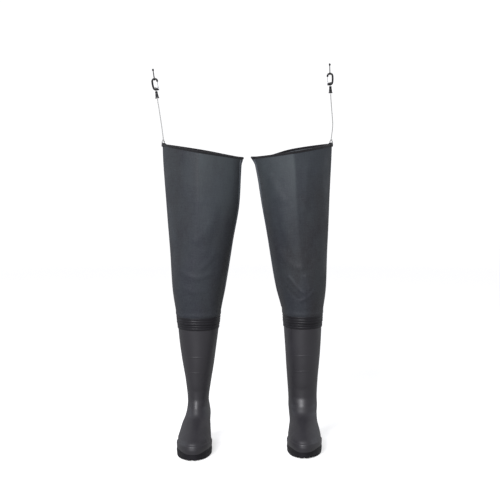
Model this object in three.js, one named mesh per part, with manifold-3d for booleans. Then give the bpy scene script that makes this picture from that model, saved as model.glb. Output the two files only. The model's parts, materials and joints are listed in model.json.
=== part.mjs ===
// A pair of hip waders: two moulded boots with welded leg sleeves, each with an elastic
// suspender cord and a swivelling snap hook for the wearer's belt.
// Millimetres, +Z up, toes towards -Y, the wearer's left wader at +X. The origin is on the
// ground, under the middle of the pair's bounding box.
import * as THREE from 'three';
import { mergeVertices } from 'three/addons/utils/BufferGeometryUtils.js';
import Module from 'manifold-3d';

const wasm = await Module();
wasm.setup();

// ---- Driving dimensions ----
const PAIR_SPACING = 306.5; // between the two shaft axes
const CLEAR = 0.3; // between pieces that touch
const AROUND = 20; // points round a boot or a sleeve

// Boot
const SOLE_THICK = 18;
const SOLE_FLANGE = 3.5; // the outsole stands this far out of the shell
const TREAD_DEPTH = 5;
const TREAD_GROOVE = 5.5; // width of a groove
const TREAD_PITCH = 15;
const ARCH_LENGTH = 34;
const FOOT_LENGTH = 290; // of the shell, heel to toe
const HEEL_BACK = 74; // the heel's reach behind the shaft axis
const BALL_WIDTH = 100;
const TOE_HEIGHT = 45; // of the toe box above the outsole
const TOE_TURN = 7; // the toe tip leans this far towards the other foot
const INSTEP_Z = 96;
const ANKLE_Z = 140;
const ANKLE_DEPTH = 112;
const COLLAR_Z = 385; // top of the moulded boot
const COLLAR_DEPTH = 146;
const BOOT_WALL = 3.2;
const FLOOR_THICK = 3;
const LINING_THICK = 1;
const INSOLE_THICK = 4;
const HEEL_WIDTH = 77;
const HEEL_CUP_TOP = 37;
const HEEL_CUP_LENGTH = 66;
const SPUR_BASE = 66; // the kick-off ledge at the back of the heel
const SPUR_HEIGHT = 8;
const SPUR_REACH = 4.5;
const SPUR_LENGTH = 30;
const COLLAR_BAND_HEIGHT = 15;
const RIB_COUNT = 2;
const RIB_HEIGHT = 1.6;

// Leg sleeve
const SLEEVE_WALL = 1.5;
const SLEEVE_LAP = 20; // of the sleeve over the boot's collar
const CUFF_RISE = 23; // of the sleeve's stiff cuff over the boot's collar
const KNEE_LENGTH = 210; // of the sleeve that bends, above the cuff
const RIM_Z = 866; // middle of the slanted rim
const RIM_DROP = 38; // from the outer corner of the rim to the inner corner
const RIM_WIDTH = 232;
const RIM_DEPTH = 148;
const KNEE_DEPTH = 164;
const RIM_STRIP = 16; // the sleeve's wall is straight over this last length
const BINDING_HEIGHT = 5.5;
const BINDING_WALL = 1.1;
const SEAM_WIDTH = 11;
const SEAM_THICK = 1;

// Corner patch and ring
const PATCH_HEIGHT = 9;
const PATCH_WALL = 1.2;
const RING_WIDTH = 8;
const RING_HEIGHT = 8;
const RING_WIRE = 0.9; // radius

// Suspender
const CORD_RADIUS = 1.6;
const KNOT_RADIUS = 2.9;
const FERRULE_HEIGHT = 20;
const FERRULE_BOTTOM = [5.6, 3.6]; // half width and half depth
const FERRULE_TOP = [3.9, 3.1];
const SWIVEL_RADIUS = 1.5;
const SWIVEL_PLAY = 0.3; // round the swivel pin
const SWIVEL_HEAD = 2.6; // radius
const SWIVEL_HEAD_THICK = 1.4;
const SWIVEL_GAP = 2.4; // between the ferrule and the hook's base

// Snap hook
const HOOK_DEPTH = 6;
const HOOK_BASE_HEIGHT = 8;
const HOOK_BAR = 4.8; // thickness of the bow
const HOOK_OPENING = 10; // inside width of the bow
const HOOK_OPENING_HEIGHT = 24;
const GATE_THICK = 2;
const GATE_PIN_RADIUS = 0.8;
const GATE_SLOT = 3.8; // width of the slot in the hook's base
const GATE_FOOT = 2; // width of the gate in that slot
const SPRING_WIDTH = 0.9;

// Belt loop
const LOOP_CORD_RADIUS = 1.1;
const LOOP_HEIGHT = 30;
const LOOP_KNOT_RADIUS = 2.9;

// How each wader stands: toes turned out (degrees), step back, the sleeve's lean towards the
// other leg at five heights from the knee to the rim, how much slimmer it hangs on each side at
// those heights, the rise of the rim's back edge over its front edge, and the widths of the soft
// ankle and collar.
// The suspender's cord runs from the ring to the ferrule, with its points measured from the
// ring: outwards, forwards and up.
const STANCE = {
  right: {
    toeOut: 5,
    stepBack: 0,
    lean: [0.5, 7.5, 13.8, 12.5, 12.9],
    slim: [1, 0, -3, -2, 0],
    backRise: -4,
    ankleWidth: 61,
    collarWidth: 124,
    headTilt: 8.5, // degrees, top outwards
    cord: [
      [0, 0, 0], [0.8, 0, 8], [1.7, 0, 16], [2.7, 0, 24], [3.8, 0.1, 32], [4.9, 0.2, 40],
      [6.1, 0.3, 48], [7.3, 0.3, 56], [8.5, 0.3, 64], [9.8, 0.2, 73], [11.1, 0.1, 82],
      [12.5, 0, 91], [13.8, 0, 99], [15.1, 0, 107], [16.6, 0, 116],
    ],
  },
  left: {
    toeOut: 1.5,
    stepBack: 30,
    lean: [4.1, 13.5, 21.7, 26.8, 32],
    slim: [2, 3.4, 3.2, 2.3, 0],
    backRise: 2,
    ankleWidth: 84,
    collarWidth: 114,
    headTilt: -2,
    cord: [
      [0, 0, 0], [0.9, 0, 9], [1.9, -0.2, 18], [3.0, -0.5, 27], [3.7, -0.8, 36], [3.8, -1.0, 45],
      [3.3, -1.0, 54], [2.6, -0.9, 63], [1.8, -0.7, 72], [1.0, -0.5, 82], [0.2, -0.3, 92],
      [-0.6, -0.2, 102], [-1.4, -0.1, 112], [-2.1, 0, 121], [-2.8, 0, 131],
    ],
  },
};

// ---- Materials ----
const finish = (color, roughness, metalness = 0) =>
  new THREE.MeshStandardMaterial({ color, roughness, metalness });
const MATERIALS = {
  boot: finish(0x3b393e, 0.45),
  outsole: finish(0x141318, 0.6),
  lining: finish(0x57585c, 0.95),
  insole: finish(0x2a2a2c, 0.95),
  sleeve: finish(0x4a4c52, 0.6),
  band: finish(0x35343a, 0.5),
  binding: finish(0x17171a, 0.8),
  cord: finish(0xdcdcda, 0.8),
  black: finish(0x111113, 0.45),
  steel: finish(0xc4c6ca, 0.3, 1),
  loop: finish(0x18181a, 0.85),
};

// ---- Solids ----
const lerp = THREE.MathUtils.lerp;
const smooth = THREE.MathUtils.smoothstep;

// A closed solid over a run of rings with the same number of points. A looped run joins its last
// ring to its first; any other run is capped at both ends, by a fan of triangles or, where the
// ring is a folded strip, by a row of them between its two sides. Each quad is split the same way
// seen from below, so walls that face each other keep their gap.
function skin(rings, looped = false, folded = false) {
  const around = rings[0].length;
  const points = rings.flat();
  const index = [];
  const spans = looped ? rings.length : rings.length - 1;
  for (let i = 0; i < spans; i++) {
    const a = i * around;
    const b = ((i + 1) % rings.length) * around;
    const rising = points[b].z >= points[a].z;
    for (let j = 0; j < around; j++) {
      const k = (j + 1) % around;
      if (rising) index.push(a + j, a + k, b + k, a + j, b + k, b + j);
      else index.push(a + j, a + k, b + j, a + k, b + k, b + j);
    }
  }
  if (!looped) {
    const last = (rings.length - 1) * around;
    const cap = [];
    if (folded) {
      for (let j = 0; j < around / 2 - 1; j++) {
        cap.push([j, j + 1, around - 2 - j], [j, around - 2 - j, around - 1 - j]);
      }
    } else {
      for (let j = 0; j < around; j++) cap.push([j, (j + 1) % around, 'centre']);
    }
    for (const first of [0, last]) {
      const centre = new THREE.Vector3();
      for (let j = 0; j < around; j++) centre.addScaledVector(points[first + j], 1 / around);
      if (!folded) points.push(centre);
      for (const corners of cap) {
        const face = corners.map((j) => (j === 'centre' ? points.length - 1 : first + j));
        index.push(...(first ? face : face.reverse()));
      }
    }
  }
  let volume = 0;
  for (let i = 0; i < index.length; i += 3) {
    const [a, b, c] = [points[index[i]], points[index[i + 1]], points[index[i + 2]]];
    volume += a.dot(new THREE.Vector3().crossVectors(b, c));
  }
  if (volume < 0) index.reverse();
  return new THREE.BufferGeometry().setFromPoints(points).setIndex(index);
}

// A geometry as a manifold-3d solid, and back.
function solid(geometry) {
  const bare = geometry.clone();
  bare.deleteAttribute('normal');
  bare.deleteAttribute('uv');
  const merged = mergeVertices(bare, 1e-3);
  return new wasm.Manifold(new wasm.Mesh({
    numProp: 3,
    vertProperties: merged.attributes.position.array,
    triVerts: new Uint32Array(merged.index.array),
  }));
}
function geometryOf(manifold) {
  const mesh = manifold.getMesh();
  return new THREE.BufferGeometry()
    .setAttribute('position', new THREE.BufferAttribute(mesh.vertProperties, 3))
    .setIndex(new THREE.BufferAttribute(mesh.triVerts, 1));
}

// A flat outline given in X and Y, extruded up from height z0 to z1.
function slab(points, z0, z1) {
  const geometry = new THREE.ExtrudeGeometry(new THREE.Shape(points), {
    depth: z1 - z0, bevelEnabled: false,
  });
  return geometry.translate(0, 0, z0);
}

// A flat outline given in X and Z, extruded along Y to a total depth about y = 0.
function upright(shape, depth, curveSegments = 8) {
  const geometry = new THREE.ExtrudeGeometry(shape, { depth, bevelEnabled: false, curveSegments });
  return geometry.rotateX(Math.PI / 2).translate(0, depth / 2, 0);
}

function box(x0, x1, y0, y1, z0, z1) {
  return new THREE.BoxGeometry(x1 - x0, y1 - y0, z1 - z0)
    .translate((x0 + x1) / 2, (y0 + y1) / 2, (z0 + z1) / 2);
}

function cylinderZ(radius, z0, z1, sides = 16) {
  return new THREE.CylinderGeometry(radius, radius, z1 - z0, sides)
    .rotateX(Math.PI / 2).translate(0, 0, (z0 + z1) / 2);
}

function cylinderY(radius, x, z, y0, y1, sides = 12) {
  return new THREE.CylinderGeometry(radius, radius, y1 - y0, sides)
    .translate(x, (y0 + y1) / 2, z);
}

// A tube that follows a closed curve.
function closedTube(curve, radius, steps, sides) {
  const frames = curve.computeFrenetFrames(steps, true);
  const rings = [];
  for (let i = 0; i < steps; i++) {
    const centre = curve.getPointAt(i / steps);
    rings.push(Array.from({ length: sides }, (_, j) => {
      const turn = (2 * Math.PI * j) / sides;
      return centre.clone()
        .addScaledVector(frames.normals[i], radius * Math.cos(turn))
        .addScaledVector(frames.binormals[i], radius * Math.sin(turn));
    }));
  }
  return skin(rings, true);
}

// A smooth curve through stations, each a key followed by the values at that key.
function track(stations) {
  const keys = stations.map((s) => s[0]);
  const values = stations.flatMap((s) => s.slice(1));
  const cubic = new THREE.CubicInterpolant(keys, values, stations[0].length - 1);
  return (key) => Array.from(
    cubic.evaluate(THREE.MathUtils.clamp(key, keys[0], keys.at(-1))));
}

// ---- Boot ----
const TOE_FRONT = HEEL_BACK - FOOT_LENGTH;
const TOE_TOP = SOLE_THICK + TOE_HEIGHT;
const SHELL_BASE = SOLE_THICK + CLEAR;
const SHELL_FLOOR = SHELL_BASE + FLOOR_THICK;
const LINING_FLOOR = SHELL_FLOOR + CLEAR;
const INSOLE_FLOOR = LINING_FLOOR + LINING_THICK + CLEAR;

// The front of the foot: its half width from the toe (-1) to the ball and back, as a share.
const toeShape = track([[-1, 0.86], [-0.72, 0.97], [-0.36, 1], [0, 1]]);

// The boot's front, back, half width across the ball or shin and half width across the heel at
// each height.
function bootProfile({ ankleWidth, collarWidth }) {
  const ankleFront = -ANKLE_DEPTH / 2 - 2;
  const ankleBack = ANKLE_DEPTH / 2 - 2;
  const collarMiddle = 4;
  const [ball, heel, ankle, collar] = [BALL_WIDTH, HEEL_WIDTH, ankleWidth, collarWidth]
    .map((width) => width / 2);
  const shaft = (share, front, back, half) => [
    lerp(ANKLE_Z, COLLAR_Z, share),
    lerp(ankleFront, collarMiddle - COLLAR_DEPTH / 2, front),
    lerp(ankleBack, collarMiddle + COLLAR_DEPTH / 2, back),
    lerp(ankle, collar, half),
    lerp(ankle, collar, half),
  ];
  return track([
    [SOLE_THICK, TOE_FRONT + 1, HEEL_BACK - 2, ball - 1, heel - 2],
    [SOLE_THICK + 0.35 * TOE_HEIGHT, TOE_FRONT, HEEL_BACK, ball, heel - 1],
    [SOLE_THICK + 0.72 * TOE_HEIGHT, TOE_FRONT + 9, HEEL_BACK, ball - 1, heel],
    [TOE_TOP, TOE_FRONT + 38, HEEL_BACK - 2, ball - 4, heel],
    [(TOE_TOP + INSTEP_Z) / 2, TOE_FRONT + 76, HEEL_BACK - 4, ball - 8, heel],
    [INSTEP_Z, (TOE_FRONT + 110 + ankleFront) / 2 - 8, HEEL_BACK - 8, (ball - 8 + ankle) / 2,
      heel - 0.5],
    [(INSTEP_Z + ANKLE_Z) / 2, ankleFront - 11, ankleBack + 5, ankle + 1, (ankle + heel) / 2],
    shaft(0, 0, 0, 0),
    shaft(0.22, 0.04, 0.04, 0.2),
    shaft(0.45, 0.4, 0.42, 0.5),
    shaft(0.76, 0.78, 0.8, 0.82),
    shaft(1, 1, 1, 1),
  ]);
}
const BOOT_HEIGHTS = [
  SHELL_BASE, SOLE_THICK + 0.35 * TOE_HEIGHT, SOLE_THICK + 0.6 * TOE_HEIGHT,
  SOLE_THICK + 0.82 * TOE_HEIGHT, TOE_TOP, (TOE_TOP + INSTEP_Z) / 2, INSTEP_Z,
  (INSTEP_Z + ANKLE_Z) / 2, ANKLE_Z, lerp(ANKLE_Z, COLLAR_Z, 0.22), lerp(ANKLE_Z, COLLAR_Z, 0.45),
  lerp(ANKLE_Z, COLLAR_Z, 0.76), COLLAR_Z,
];

// One horizontal ring of the boot, drawn in from the outer surface by inset. Its half width goes
// from the ball's to the heel's along the foot, with a waist between them.
function bootRing(profile, z, inset = 0) {
  const roof = 0.8 * inset; // the inside of the toe box is lower by this much
  const [front, back, ball, heel] = profile(z + (z < ANKLE_Z ? roof : 0));
  const middle = (front + back) / 2;
  const oval = smooth(z, SOLE_THICK + 0.6 * TOE_HEIGHT, ANKLE_Z - 4);
  return Array.from({ length: AROUND }, (_, j) => {
    const turn = (2 * Math.PI * j) / AROUND;
    const along = -Math.cos(turn);
    const across = Math.sin(turn);
    const waist = 1 - 0.12 * (1 - oval) * Math.exp(-(((along - 0.18) / 0.3) ** 2));
    const shape = lerp(toeShape(along)[0], 1, oval);
    const half = waist * lerp(ball * shape, heel, smooth(along, -0.25, 0.55));
    const toe = (1 - oval) * TOE_TURN * Math.max(0, -along) ** 2;
    const bulge = Math.sign(across) * Math.abs(across) ** lerp(0.82, 1, oval);
    return new THREE.Vector3(bulge * (half - inset) - toe,
      middle + along * ((back - front) / 2 - inset), z);
  });
}

// A cup with the boot's shape: its outer wall, its rim and its inner wall.
function bootCup(profile, outer, inner, base, floor, top) {
  const rings = [base, ...BOOT_HEIGHTS.filter((z) => z > base + 2 && z < top - 1), top]
    .map((z) => bootRing(profile, z, outer));
  const inside = [floor, ...BOOT_HEIGHTS.filter((z) => z > floor + 2 && z < top - 1), top]
    .map((z) => bootRing(profile, z, inner));
  return skin([...rings, ...inside.reverse()]);
}

function bootShell(profile) {
  return bootCup(profile, 0, BOOT_WALL, SHELL_BASE, SHELL_FLOOR, COLLAR_Z);
}

function bootLining(profile) {
  const outer = BOOT_WALL + CLEAR;
  return bootCup(profile, outer, outer + LINING_THICK, LINING_FLOOR,
    LINING_FLOOR + LINING_THICK, COLLAR_Z - 2);
}

function insole(profile) {
  const inset = BOOT_WALL + LINING_THICK + 2 * CLEAR + 0.6;
  const top = INSOLE_FLOOR + INSOLE_THICK;
  return skin([INSOLE_FLOOR, top].map((z) => bootRing(profile, z, inset)));
}

// The outsole: the foot's outline with a flange, an arch behind the ball and cross grooves.
function outsole(profile) {
  const outline = bootRing(profile, SOLE_THICK, -SOLE_FLANGE);
  let sole = solid(slab(outline, 0, SOLE_THICK));
  const archFront = -8;
  const reach = BALL_WIDTH;
  const cut = (y0, y1, depth) => {
    sole = sole.subtract(solid(box(-reach, reach, y0, y1, -1, depth)));
  };
  cut(archFront, archFront + ARCH_LENGTH, TREAD_DEPTH + 3);
  for (let y = archFront - TREAD_PITCH; y > TOE_FRONT + 6; y -= TREAD_PITCH) {
    cut(y, y + TREAD_GROOVE, TREAD_DEPTH);
  }
  for (let y = archFront + ARCH_LENGTH + TREAD_PITCH - TREAD_GROOVE; y < HEEL_BACK - 8;
    y += TREAD_PITCH) {
    cut(y, y + TREAD_GROOVE, TREAD_DEPTH);
  }
  return geometryOf(sole);
}

// A wall that wraps the heel between two heights: from the boot's surface out to reach, and
// forwards by length.
function heelWall(profile, z0, z1, reach, length) {
  const heights = [z0, ...BOOT_HEIGHTS.filter((z) => z > z0 + 2 && z < z1 - 2), z1];
  const around = skin(heights.map((z) => bootRing(profile, z, -reach)));
  const within = skin([-1, ...heights.map(() => 0), 1].map((past, i) => {
    const z = heights[THREE.MathUtils.clamp(i - 1, 0, heights.length - 1)];
    return bootRing(profile, z, -2 * CLEAR).map((p) => p.setZ(z + past));
  }));
  const front = box(-BALL_WIDTH, BALL_WIDTH, TOE_FRONT - 20, HEEL_BACK - length, z0 - 2, z1 + 2);
  return geometryOf(solid(around).subtract(solid(within)).subtract(solid(front)));
}

// The ribbed band moulded on below the sleeve's lower edge.
function collarBand(profile) {
  const top = COLLAR_Z - SLEEVE_LAP - CLEAR;
  const base = top - COLLAR_BAND_HEIGHT;
  const rings = [bootRing(profile, base, -CLEAR)];
  const pitch = COLLAR_BAND_HEIGHT / RIB_COUNT;
  for (let i = 0; i < RIB_COUNT; i++) {
    const z = base + i * pitch;
    rings.push(bootRing(profile, z + 0.15 * pitch, -CLEAR - 0.8));
    rings.push(bootRing(profile, z + 0.5 * pitch, -CLEAR - 0.8 - RIB_HEIGHT));
  }
  rings.push(bootRing(profile, top, -CLEAR - 0.8));
  rings.push(bootRing(profile, top, -CLEAR));
  return skin(rings, true);
}

// ---- Leg sleeve ----
const KNEE_LOW = COLLAR_Z + CUFF_RISE;
const KNEE_HIGH = KNEE_LOW + KNEE_LENGTH;

// Middle (across and along), half width, half depth and sharpness of the corners at each height.
function sleeveProfile(profile, { lean, slim, backRise }) {
  const [lapFront, lapBack, lapHalf] = profile(COLLAR_Z - SLEEVE_LAP);
  const [front, back, half] = profile(COLLAR_Z);
  const over = CLEAR + SLEEVE_WALL; // the sleeve's outside stands this far off the boot
  const station = (i, share, middle, width, fullness, sharp) => [
    lerp(COLLAR_Z, RIM_Z, share), -lean[i], middle,
    lerp(half + over, RIM_WIDTH / 2, width) - slim[i],
    lerp(KNEE_DEPTH / 2, RIM_DEPTH / 2, fullness), sharp,
  ];
  const at = track([
    [COLLAR_Z - SLEEVE_LAP, 0, (lapFront + lapBack) / 2, lapHalf + over,
      (lapBack - lapFront) / 2 + over, 0],
    [COLLAR_Z + 1, 0, (front + back) / 2, half + over, (back - front) / 2 + over, 0],
    station(0, 0.17, 4, 0.27, -0.2, 0.04),
    station(1, 0.42, 3, 0.54, 0, 0.14),
    station(2, 0.67, 1, 0.77, 0.35, 0.28),
    station(3, 0.9, 0, 0.92, 0.8, 0.45),
    station(4, 1.02, 0, 1, 1, 0.55),
  ]);
  return (z) => [...at(z), backRise / 2];
}

function sleevePoint(leg, turn, z, out = 0) {
  const [x, y, half, depth, sharp, rise] = leg(z);
  const along = -Math.cos(turn);
  const across = Math.sin(turn);
  const slant = smooth(z, KNEE_HIGH, RIM_Z);
  return new THREE.Vector3(
    x + across * (half + out),
    y + along * Math.abs(along) ** sharp * (depth + out),
    z + slant * ((RIM_DROP / RIM_WIDTH) * across * half + rise * along),
  );
}

const TURN = (2 * Math.PI) / AROUND;

// A length of the sleeve over a run of heights.
function sleeve(leg, heights) {
  const ring = (z, out) => Array.from({ length: AROUND }, (_, j) => sleevePoint(leg, j * TURN, z, out));
  const outside = heights.map((z) => ring(z, 0));
  const inside = heights.map((z) => ring(z, -SLEEVE_WALL));
  return skin([...outside, ...inside.reverse()], true);
}

// The cuff laps over the boot's collar, so it has a ring at the collar's top.
const CUFF_HEIGHTS = [COLLAR_Z - SLEEVE_LAP, COLLAR_Z + 1, KNEE_LOW - CLEAR / 2];
const evenly = (z0, z1, steps) =>
  Array.from({ length: steps + 1 }, (_, i) => lerp(z0, z1, i / steps));
const KNEE_HEIGHTS = evenly(KNEE_LOW + CLEAR / 2, KNEE_HIGH - CLEAR / 2, 4);
const THIGH_HEIGHTS = evenly(KNEE_HIGH + CLEAR / 2, RIM_Z - RIM_STRIP, 4);

// The tape over the welded seam on the inner side of the leg: it lies on one facet of the sleeve.
function seamTape(leg, heights) {
  const corner = -Math.PI / 2;
  return skin(heights.map((z) => {
    const edge = (out) => [0, 1].map((i) => sleevePoint(leg, corner + i * TURN, z, out));
    const [low, high] = [edge(CLEAR), edge(CLEAR + SEAM_THICK)];
    const share = SEAM_WIDTH / low[0].distanceTo(low[1]);
    const at = ([a, b], t) => a.clone().lerp(b, t);
    return [at(low, 0.1), at(low, 0.1 + share), at(high, 0.1 + share), at(high, 0.1)];
  }));
}

// A point on the straight strip below the rim, at a distance down from it.
function rimPoint(leg, turn, down, out) {
  const share = Math.max(0, down) / RIM_STRIP;
  return sleevePoint(leg, turn, RIM_Z, out)
    .lerp(sleevePoint(leg, turn, RIM_Z - RIM_STRIP, out), share)
    .add(new THREE.Vector3(0, 0, Math.max(0, -down)));
}

// A strip folded over the rim: a channel whose inner faces stand off the sleeve by gap.
function rimChannel(leg, turns, looped, gap, roof, wall, height) {
  const section = (turn) => [
    [gap + wall, height], [gap + wall, -roof - wall],
    [-SLEEVE_WALL - gap - wall, -roof - wall], [-SLEEVE_WALL - gap - wall, height],
    [-SLEEVE_WALL - gap, height], [-SLEEVE_WALL - gap, -roof],
    [gap, -roof], [gap, height],
  ].map(([out, down]) => rimPoint(leg, turn, down, out));
  return skin(turns.map(section), looped, true);
}

function binding(leg) {
  const turns = Array.from({ length: AROUND }, (_, j) => j * TURN);
  return rimChannel(leg, turns, true, CLEAR, CLEAR, BINDING_WALL, BINDING_HEIGHT);
}

// ---- Corner patch, ring and knot ----
const PATCH_GAP = 3 * CLEAR + BINDING_WALL; // the patch lies over the binding
const PATCH_ROOF = PATCH_GAP + 2 * RING_WIRE + CLEAR;

// Where the ring's bar lies: over the binding at the outer corner of the rim.
function ringPlace(leg) {
  const corner = sleevePoint(leg, Math.PI / 2, RIM_Z, 0);
  return corner.add(new THREE.Vector3(-RING_WIDTH / 2 + 2, 0, PATCH_GAP + RING_WIRE));
}

function strapRing(leg, radius = RING_WIRE) {
  const place = ringPlace(leg);
  const [w, h] = [RING_WIDTH / 2, RING_HEIGHT];
  const outline = [
    [-w + 1.5, 0], [0, 0], [w - 1.5, 0], [w, 1.6], [w, 0.45 * h], [0.72 * w, 0.84 * h],
    [0, h], [-0.72 * w, 0.84 * h], [-w, 0.45 * h], [-w, 1.6],
  ].map(([x, z]) => new THREE.Vector3(x, 0, z).add(place));
  return closedTube(new THREE.CatmullRomCurve3(outline, true), radius, 24, 6);
}

function cornerPatch(leg) {
  const turns = [-1, 0, 1].map((i) => Math.PI / 2 + i * TURN);
  const patch = rimChannel(leg, turns, false, PATCH_GAP, PATCH_ROOF, PATCH_WALL, PATCH_HEIGHT);
  return geometryOf(solid(patch).subtract(solid(strapRing(leg, RING_WIRE + CLEAR))));
}

// The knot sits round the top of the ring's bow; the cord leaves its upper side.
function knotPlace(leg) {
  return ringPlace(leg).add(new THREE.Vector3(0, 0, RING_HEIGHT + KNOT_RADIUS - 1.8));
}

function knot(leg) {
  const place = knotPlace(leg);
  const lump = new THREE.SphereGeometry(KNOT_RADIUS, 10, 7).scale(1.1, 1, 1.25)
    .translate(place.x, place.y, place.z);
  return geometryOf(solid(lump).subtract(solid(strapRing(leg, RING_WIRE + CLEAR))));
}

const KNOT_TOP = 1.25 * KNOT_RADIUS + CLEAR;

function cordStart(leg) {
  return knotPlace(leg).add(new THREE.Vector3(0, 0, KNOT_TOP));
}

function cordPoints(leg, stance) {
  const start = cordStart(leg);
  return stance.cord.map(([x, y, z]) => new THREE.Vector3(x, y, z).add(start));
}

function suspenderCord(leg, stance) {
  const circle = new THREE.Shape().absarc(0, 0, CORD_RADIUS, 0, 2 * Math.PI);
  return new THREE.ExtrudeGeometry(circle, {
    curveSegments: 8,
    steps: 18,
    extrudePath: new THREE.CatmullRomCurve3(cordPoints(leg, stance)),
  });
}

// ---- Ferrule, swivel and snap hook: their own frame stands on the end of the cord, with Z
// along the hook and +X towards its spine. ----
const SWIVEL_SEAT = 10; // depth of the pin in the ferrule
const HOOK_BASE = FERRULE_HEIGHT + CLEAR + SWIVEL_GAP;
const BOW_BASE = HOOK_BASE + HOOK_BASE_HEIGHT;
const BOW_HALF = HOOK_OPENING / 2 + HOOK_BAR;
const BOW_CENTRE = BOW_BASE + HOOK_OPENING_HEIGHT - HOOK_OPENING / 2;
const GATE_X = -HOOK_OPENING / 2 - HOOK_BAR / 2;
const GATE_PIN_Z = HOOK_BASE + 0.6 * HOOK_BASE_HEIGHT;
const GATE_TOP = BOW_CENTRE - 3; // the bow's tip comes down to here

function ferrule() {
  const ring = ([half, depth], z) => Array.from({ length: 16 }, (_, j) => {
    const turn = (2 * Math.PI * j) / 16;
    const round = (v) => Math.sign(v) * Math.abs(v) ** 0.6;
    return new THREE.Vector3(round(Math.cos(turn)) * half, round(Math.sin(turn)) * depth, z);
  });
  const shell = skin([ring(FERRULE_BOTTOM, 0), ring(FERRULE_BOTTOM, 3), ring(FERRULE_TOP, 12),
    ring(FERRULE_TOP, FERRULE_HEIGHT)]);
  const socket = cylinderZ(SWIVEL_RADIUS + CLEAR, FERRULE_HEIGHT - SWIVEL_SEAT, FERRULE_HEIGHT + 1);
  return geometryOf(solid(shell).subtract(solid(socket)));
}

function swivelPin() {
  const head = BOW_BASE + CLEAR;
  const profile = [
    [0, FERRULE_HEIGHT - SWIVEL_SEAT + CLEAR],
    [SWIVEL_RADIUS, FERRULE_HEIGHT - SWIVEL_SEAT + CLEAR],
    [SWIVEL_RADIUS, FERRULE_HEIGHT + CLEAR],
    [SWIVEL_HEAD, FERRULE_HEIGHT + CLEAR],
    [SWIVEL_HEAD, FERRULE_HEIGHT + SWIVEL_GAP - CLEAR],
    [SWIVEL_RADIUS, FERRULE_HEIGHT + SWIVEL_GAP - CLEAR],
    [SWIVEL_RADIUS, head],
    [SWIVEL_HEAD, head],
    [SWIVEL_HEAD, head + 0.6 * SWIVEL_HEAD_THICK],
    [0.6 * SWIVEL_HEAD, head + SWIVEL_HEAD_THICK],
    [0, head + SWIVEL_HEAD_THICK],
  ].map(([r, z]) => new THREE.Vector2(r, z));
  return new THREE.LatheGeometry(profile, 12).rotateX(Math.PI / 2);
}

// The hook is one bar: a base, a spine on the +X side and a bow that comes down to a tip.
function hook() {
  const inner = HOOK_OPENING / 2;
  const shape = new THREE.Shape();
  shape.moveTo(-BOW_HALF, HOOK_BASE + 2);
  shape.lineTo(-BOW_HALF + 3, HOOK_BASE);
  shape.lineTo(BOW_HALF - 4, HOOK_BASE);
  shape.quadraticCurveTo(BOW_HALF, BOW_BASE - 2, BOW_HALF, BOW_BASE + 5);
  shape.lineTo(BOW_HALF, BOW_CENTRE);
  shape.absarc(0, BOW_CENTRE, BOW_HALF, 0, Math.PI, false);
  shape.lineTo(-BOW_HALF, GATE_TOP + CLEAR);
  shape.lineTo(-inner, GATE_TOP + CLEAR);
  shape.lineTo(-inner, BOW_CENTRE);
  shape.absarc(0, BOW_CENTRE, inner, Math.PI, 0, true);
  shape.lineTo(inner, BOW_BASE + 3);
  shape.quadraticCurveTo(inner, BOW_BASE, inner - 3, BOW_BASE);
  shape.lineTo(-BOW_HALF, BOW_BASE);
  const slotHalf = GATE_SLOT / 2;
  const slot = box(-BOW_HALF - 1, -SWIVEL_HEAD - 0.6, -slotHalf, slotHalf, HOOK_BASE + 1.2,
    BOW_BASE + 1);
  const pinHole = cylinderY(GATE_PIN_RADIUS + 0.1, GATE_X, GATE_PIN_Z, -HOOK_DEPTH, HOOK_DEPTH);
  const swivelHole = cylinderZ(SWIVEL_RADIUS + SWIVEL_PLAY, HOOK_BASE - 1, BOW_BASE + 1);
  return geometryOf(solid(upright(shape, HOOK_DEPTH, 7))
    .subtract(solid(slot)).subtract(solid(pinHole)).subtract(solid(swivelHole)));
}

const GATE_FOOT_Y = -GATE_SLOT / 2 + 0.2; // the gate's foot starts here, the spring follows it

// The gate: a foot round the pin and a leaf that closes against the bow's tip.
function gate() {
  const foot = new THREE.CylinderGeometry(1.7, 1.7, GATE_FOOT, 12)
    .translate(GATE_X, GATE_FOOT_Y + GATE_FOOT / 2, GATE_PIN_Z);
  const neck = box(GATE_X - GATE_THICK / 2, GATE_X + GATE_THICK / 2, GATE_FOOT_Y,
    GATE_FOOT_Y + GATE_FOOT, GATE_PIN_Z, BOW_BASE + 1);
  const leaf = box(GATE_X - GATE_THICK / 2, GATE_X + GATE_THICK / 2, -GATE_SLOT / 2 + 0.2,
    GATE_SLOT / 2 - 0.2, BOW_BASE + CLEAR, GATE_TOP);
  const hole = cylinderY(GATE_PIN_RADIUS + 0.08, GATE_X, GATE_PIN_Z, -HOOK_DEPTH, HOOK_DEPTH);
  return geometryOf(solid(foot).add(solid(neck)).add(solid(leaf)).subtract(solid(hole)));
}

function gatePin() {
  return cylinderY(GATE_PIN_RADIUS, GATE_X, GATE_PIN_Z, -HOOK_DEPTH / 2, HOOK_DEPTH / 2);
}

// The coils of the gate's spring, as one ring round the pin beside the gate's foot.
function gateSpring() {
  const y0 = GATE_FOOT_Y + GATE_FOOT + 0.15;
  const profile = [[1.0, 0], [1.6, 0], [1.6, SPRING_WIDTH], [1.0, SPRING_WIDTH], [1.0, 0]]
    .map(([r, y]) => new THREE.Vector2(r, y));
  return new THREE.LatheGeometry(profile, 12).translate(GATE_X, y0, GATE_PIN_Z);
}

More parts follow.
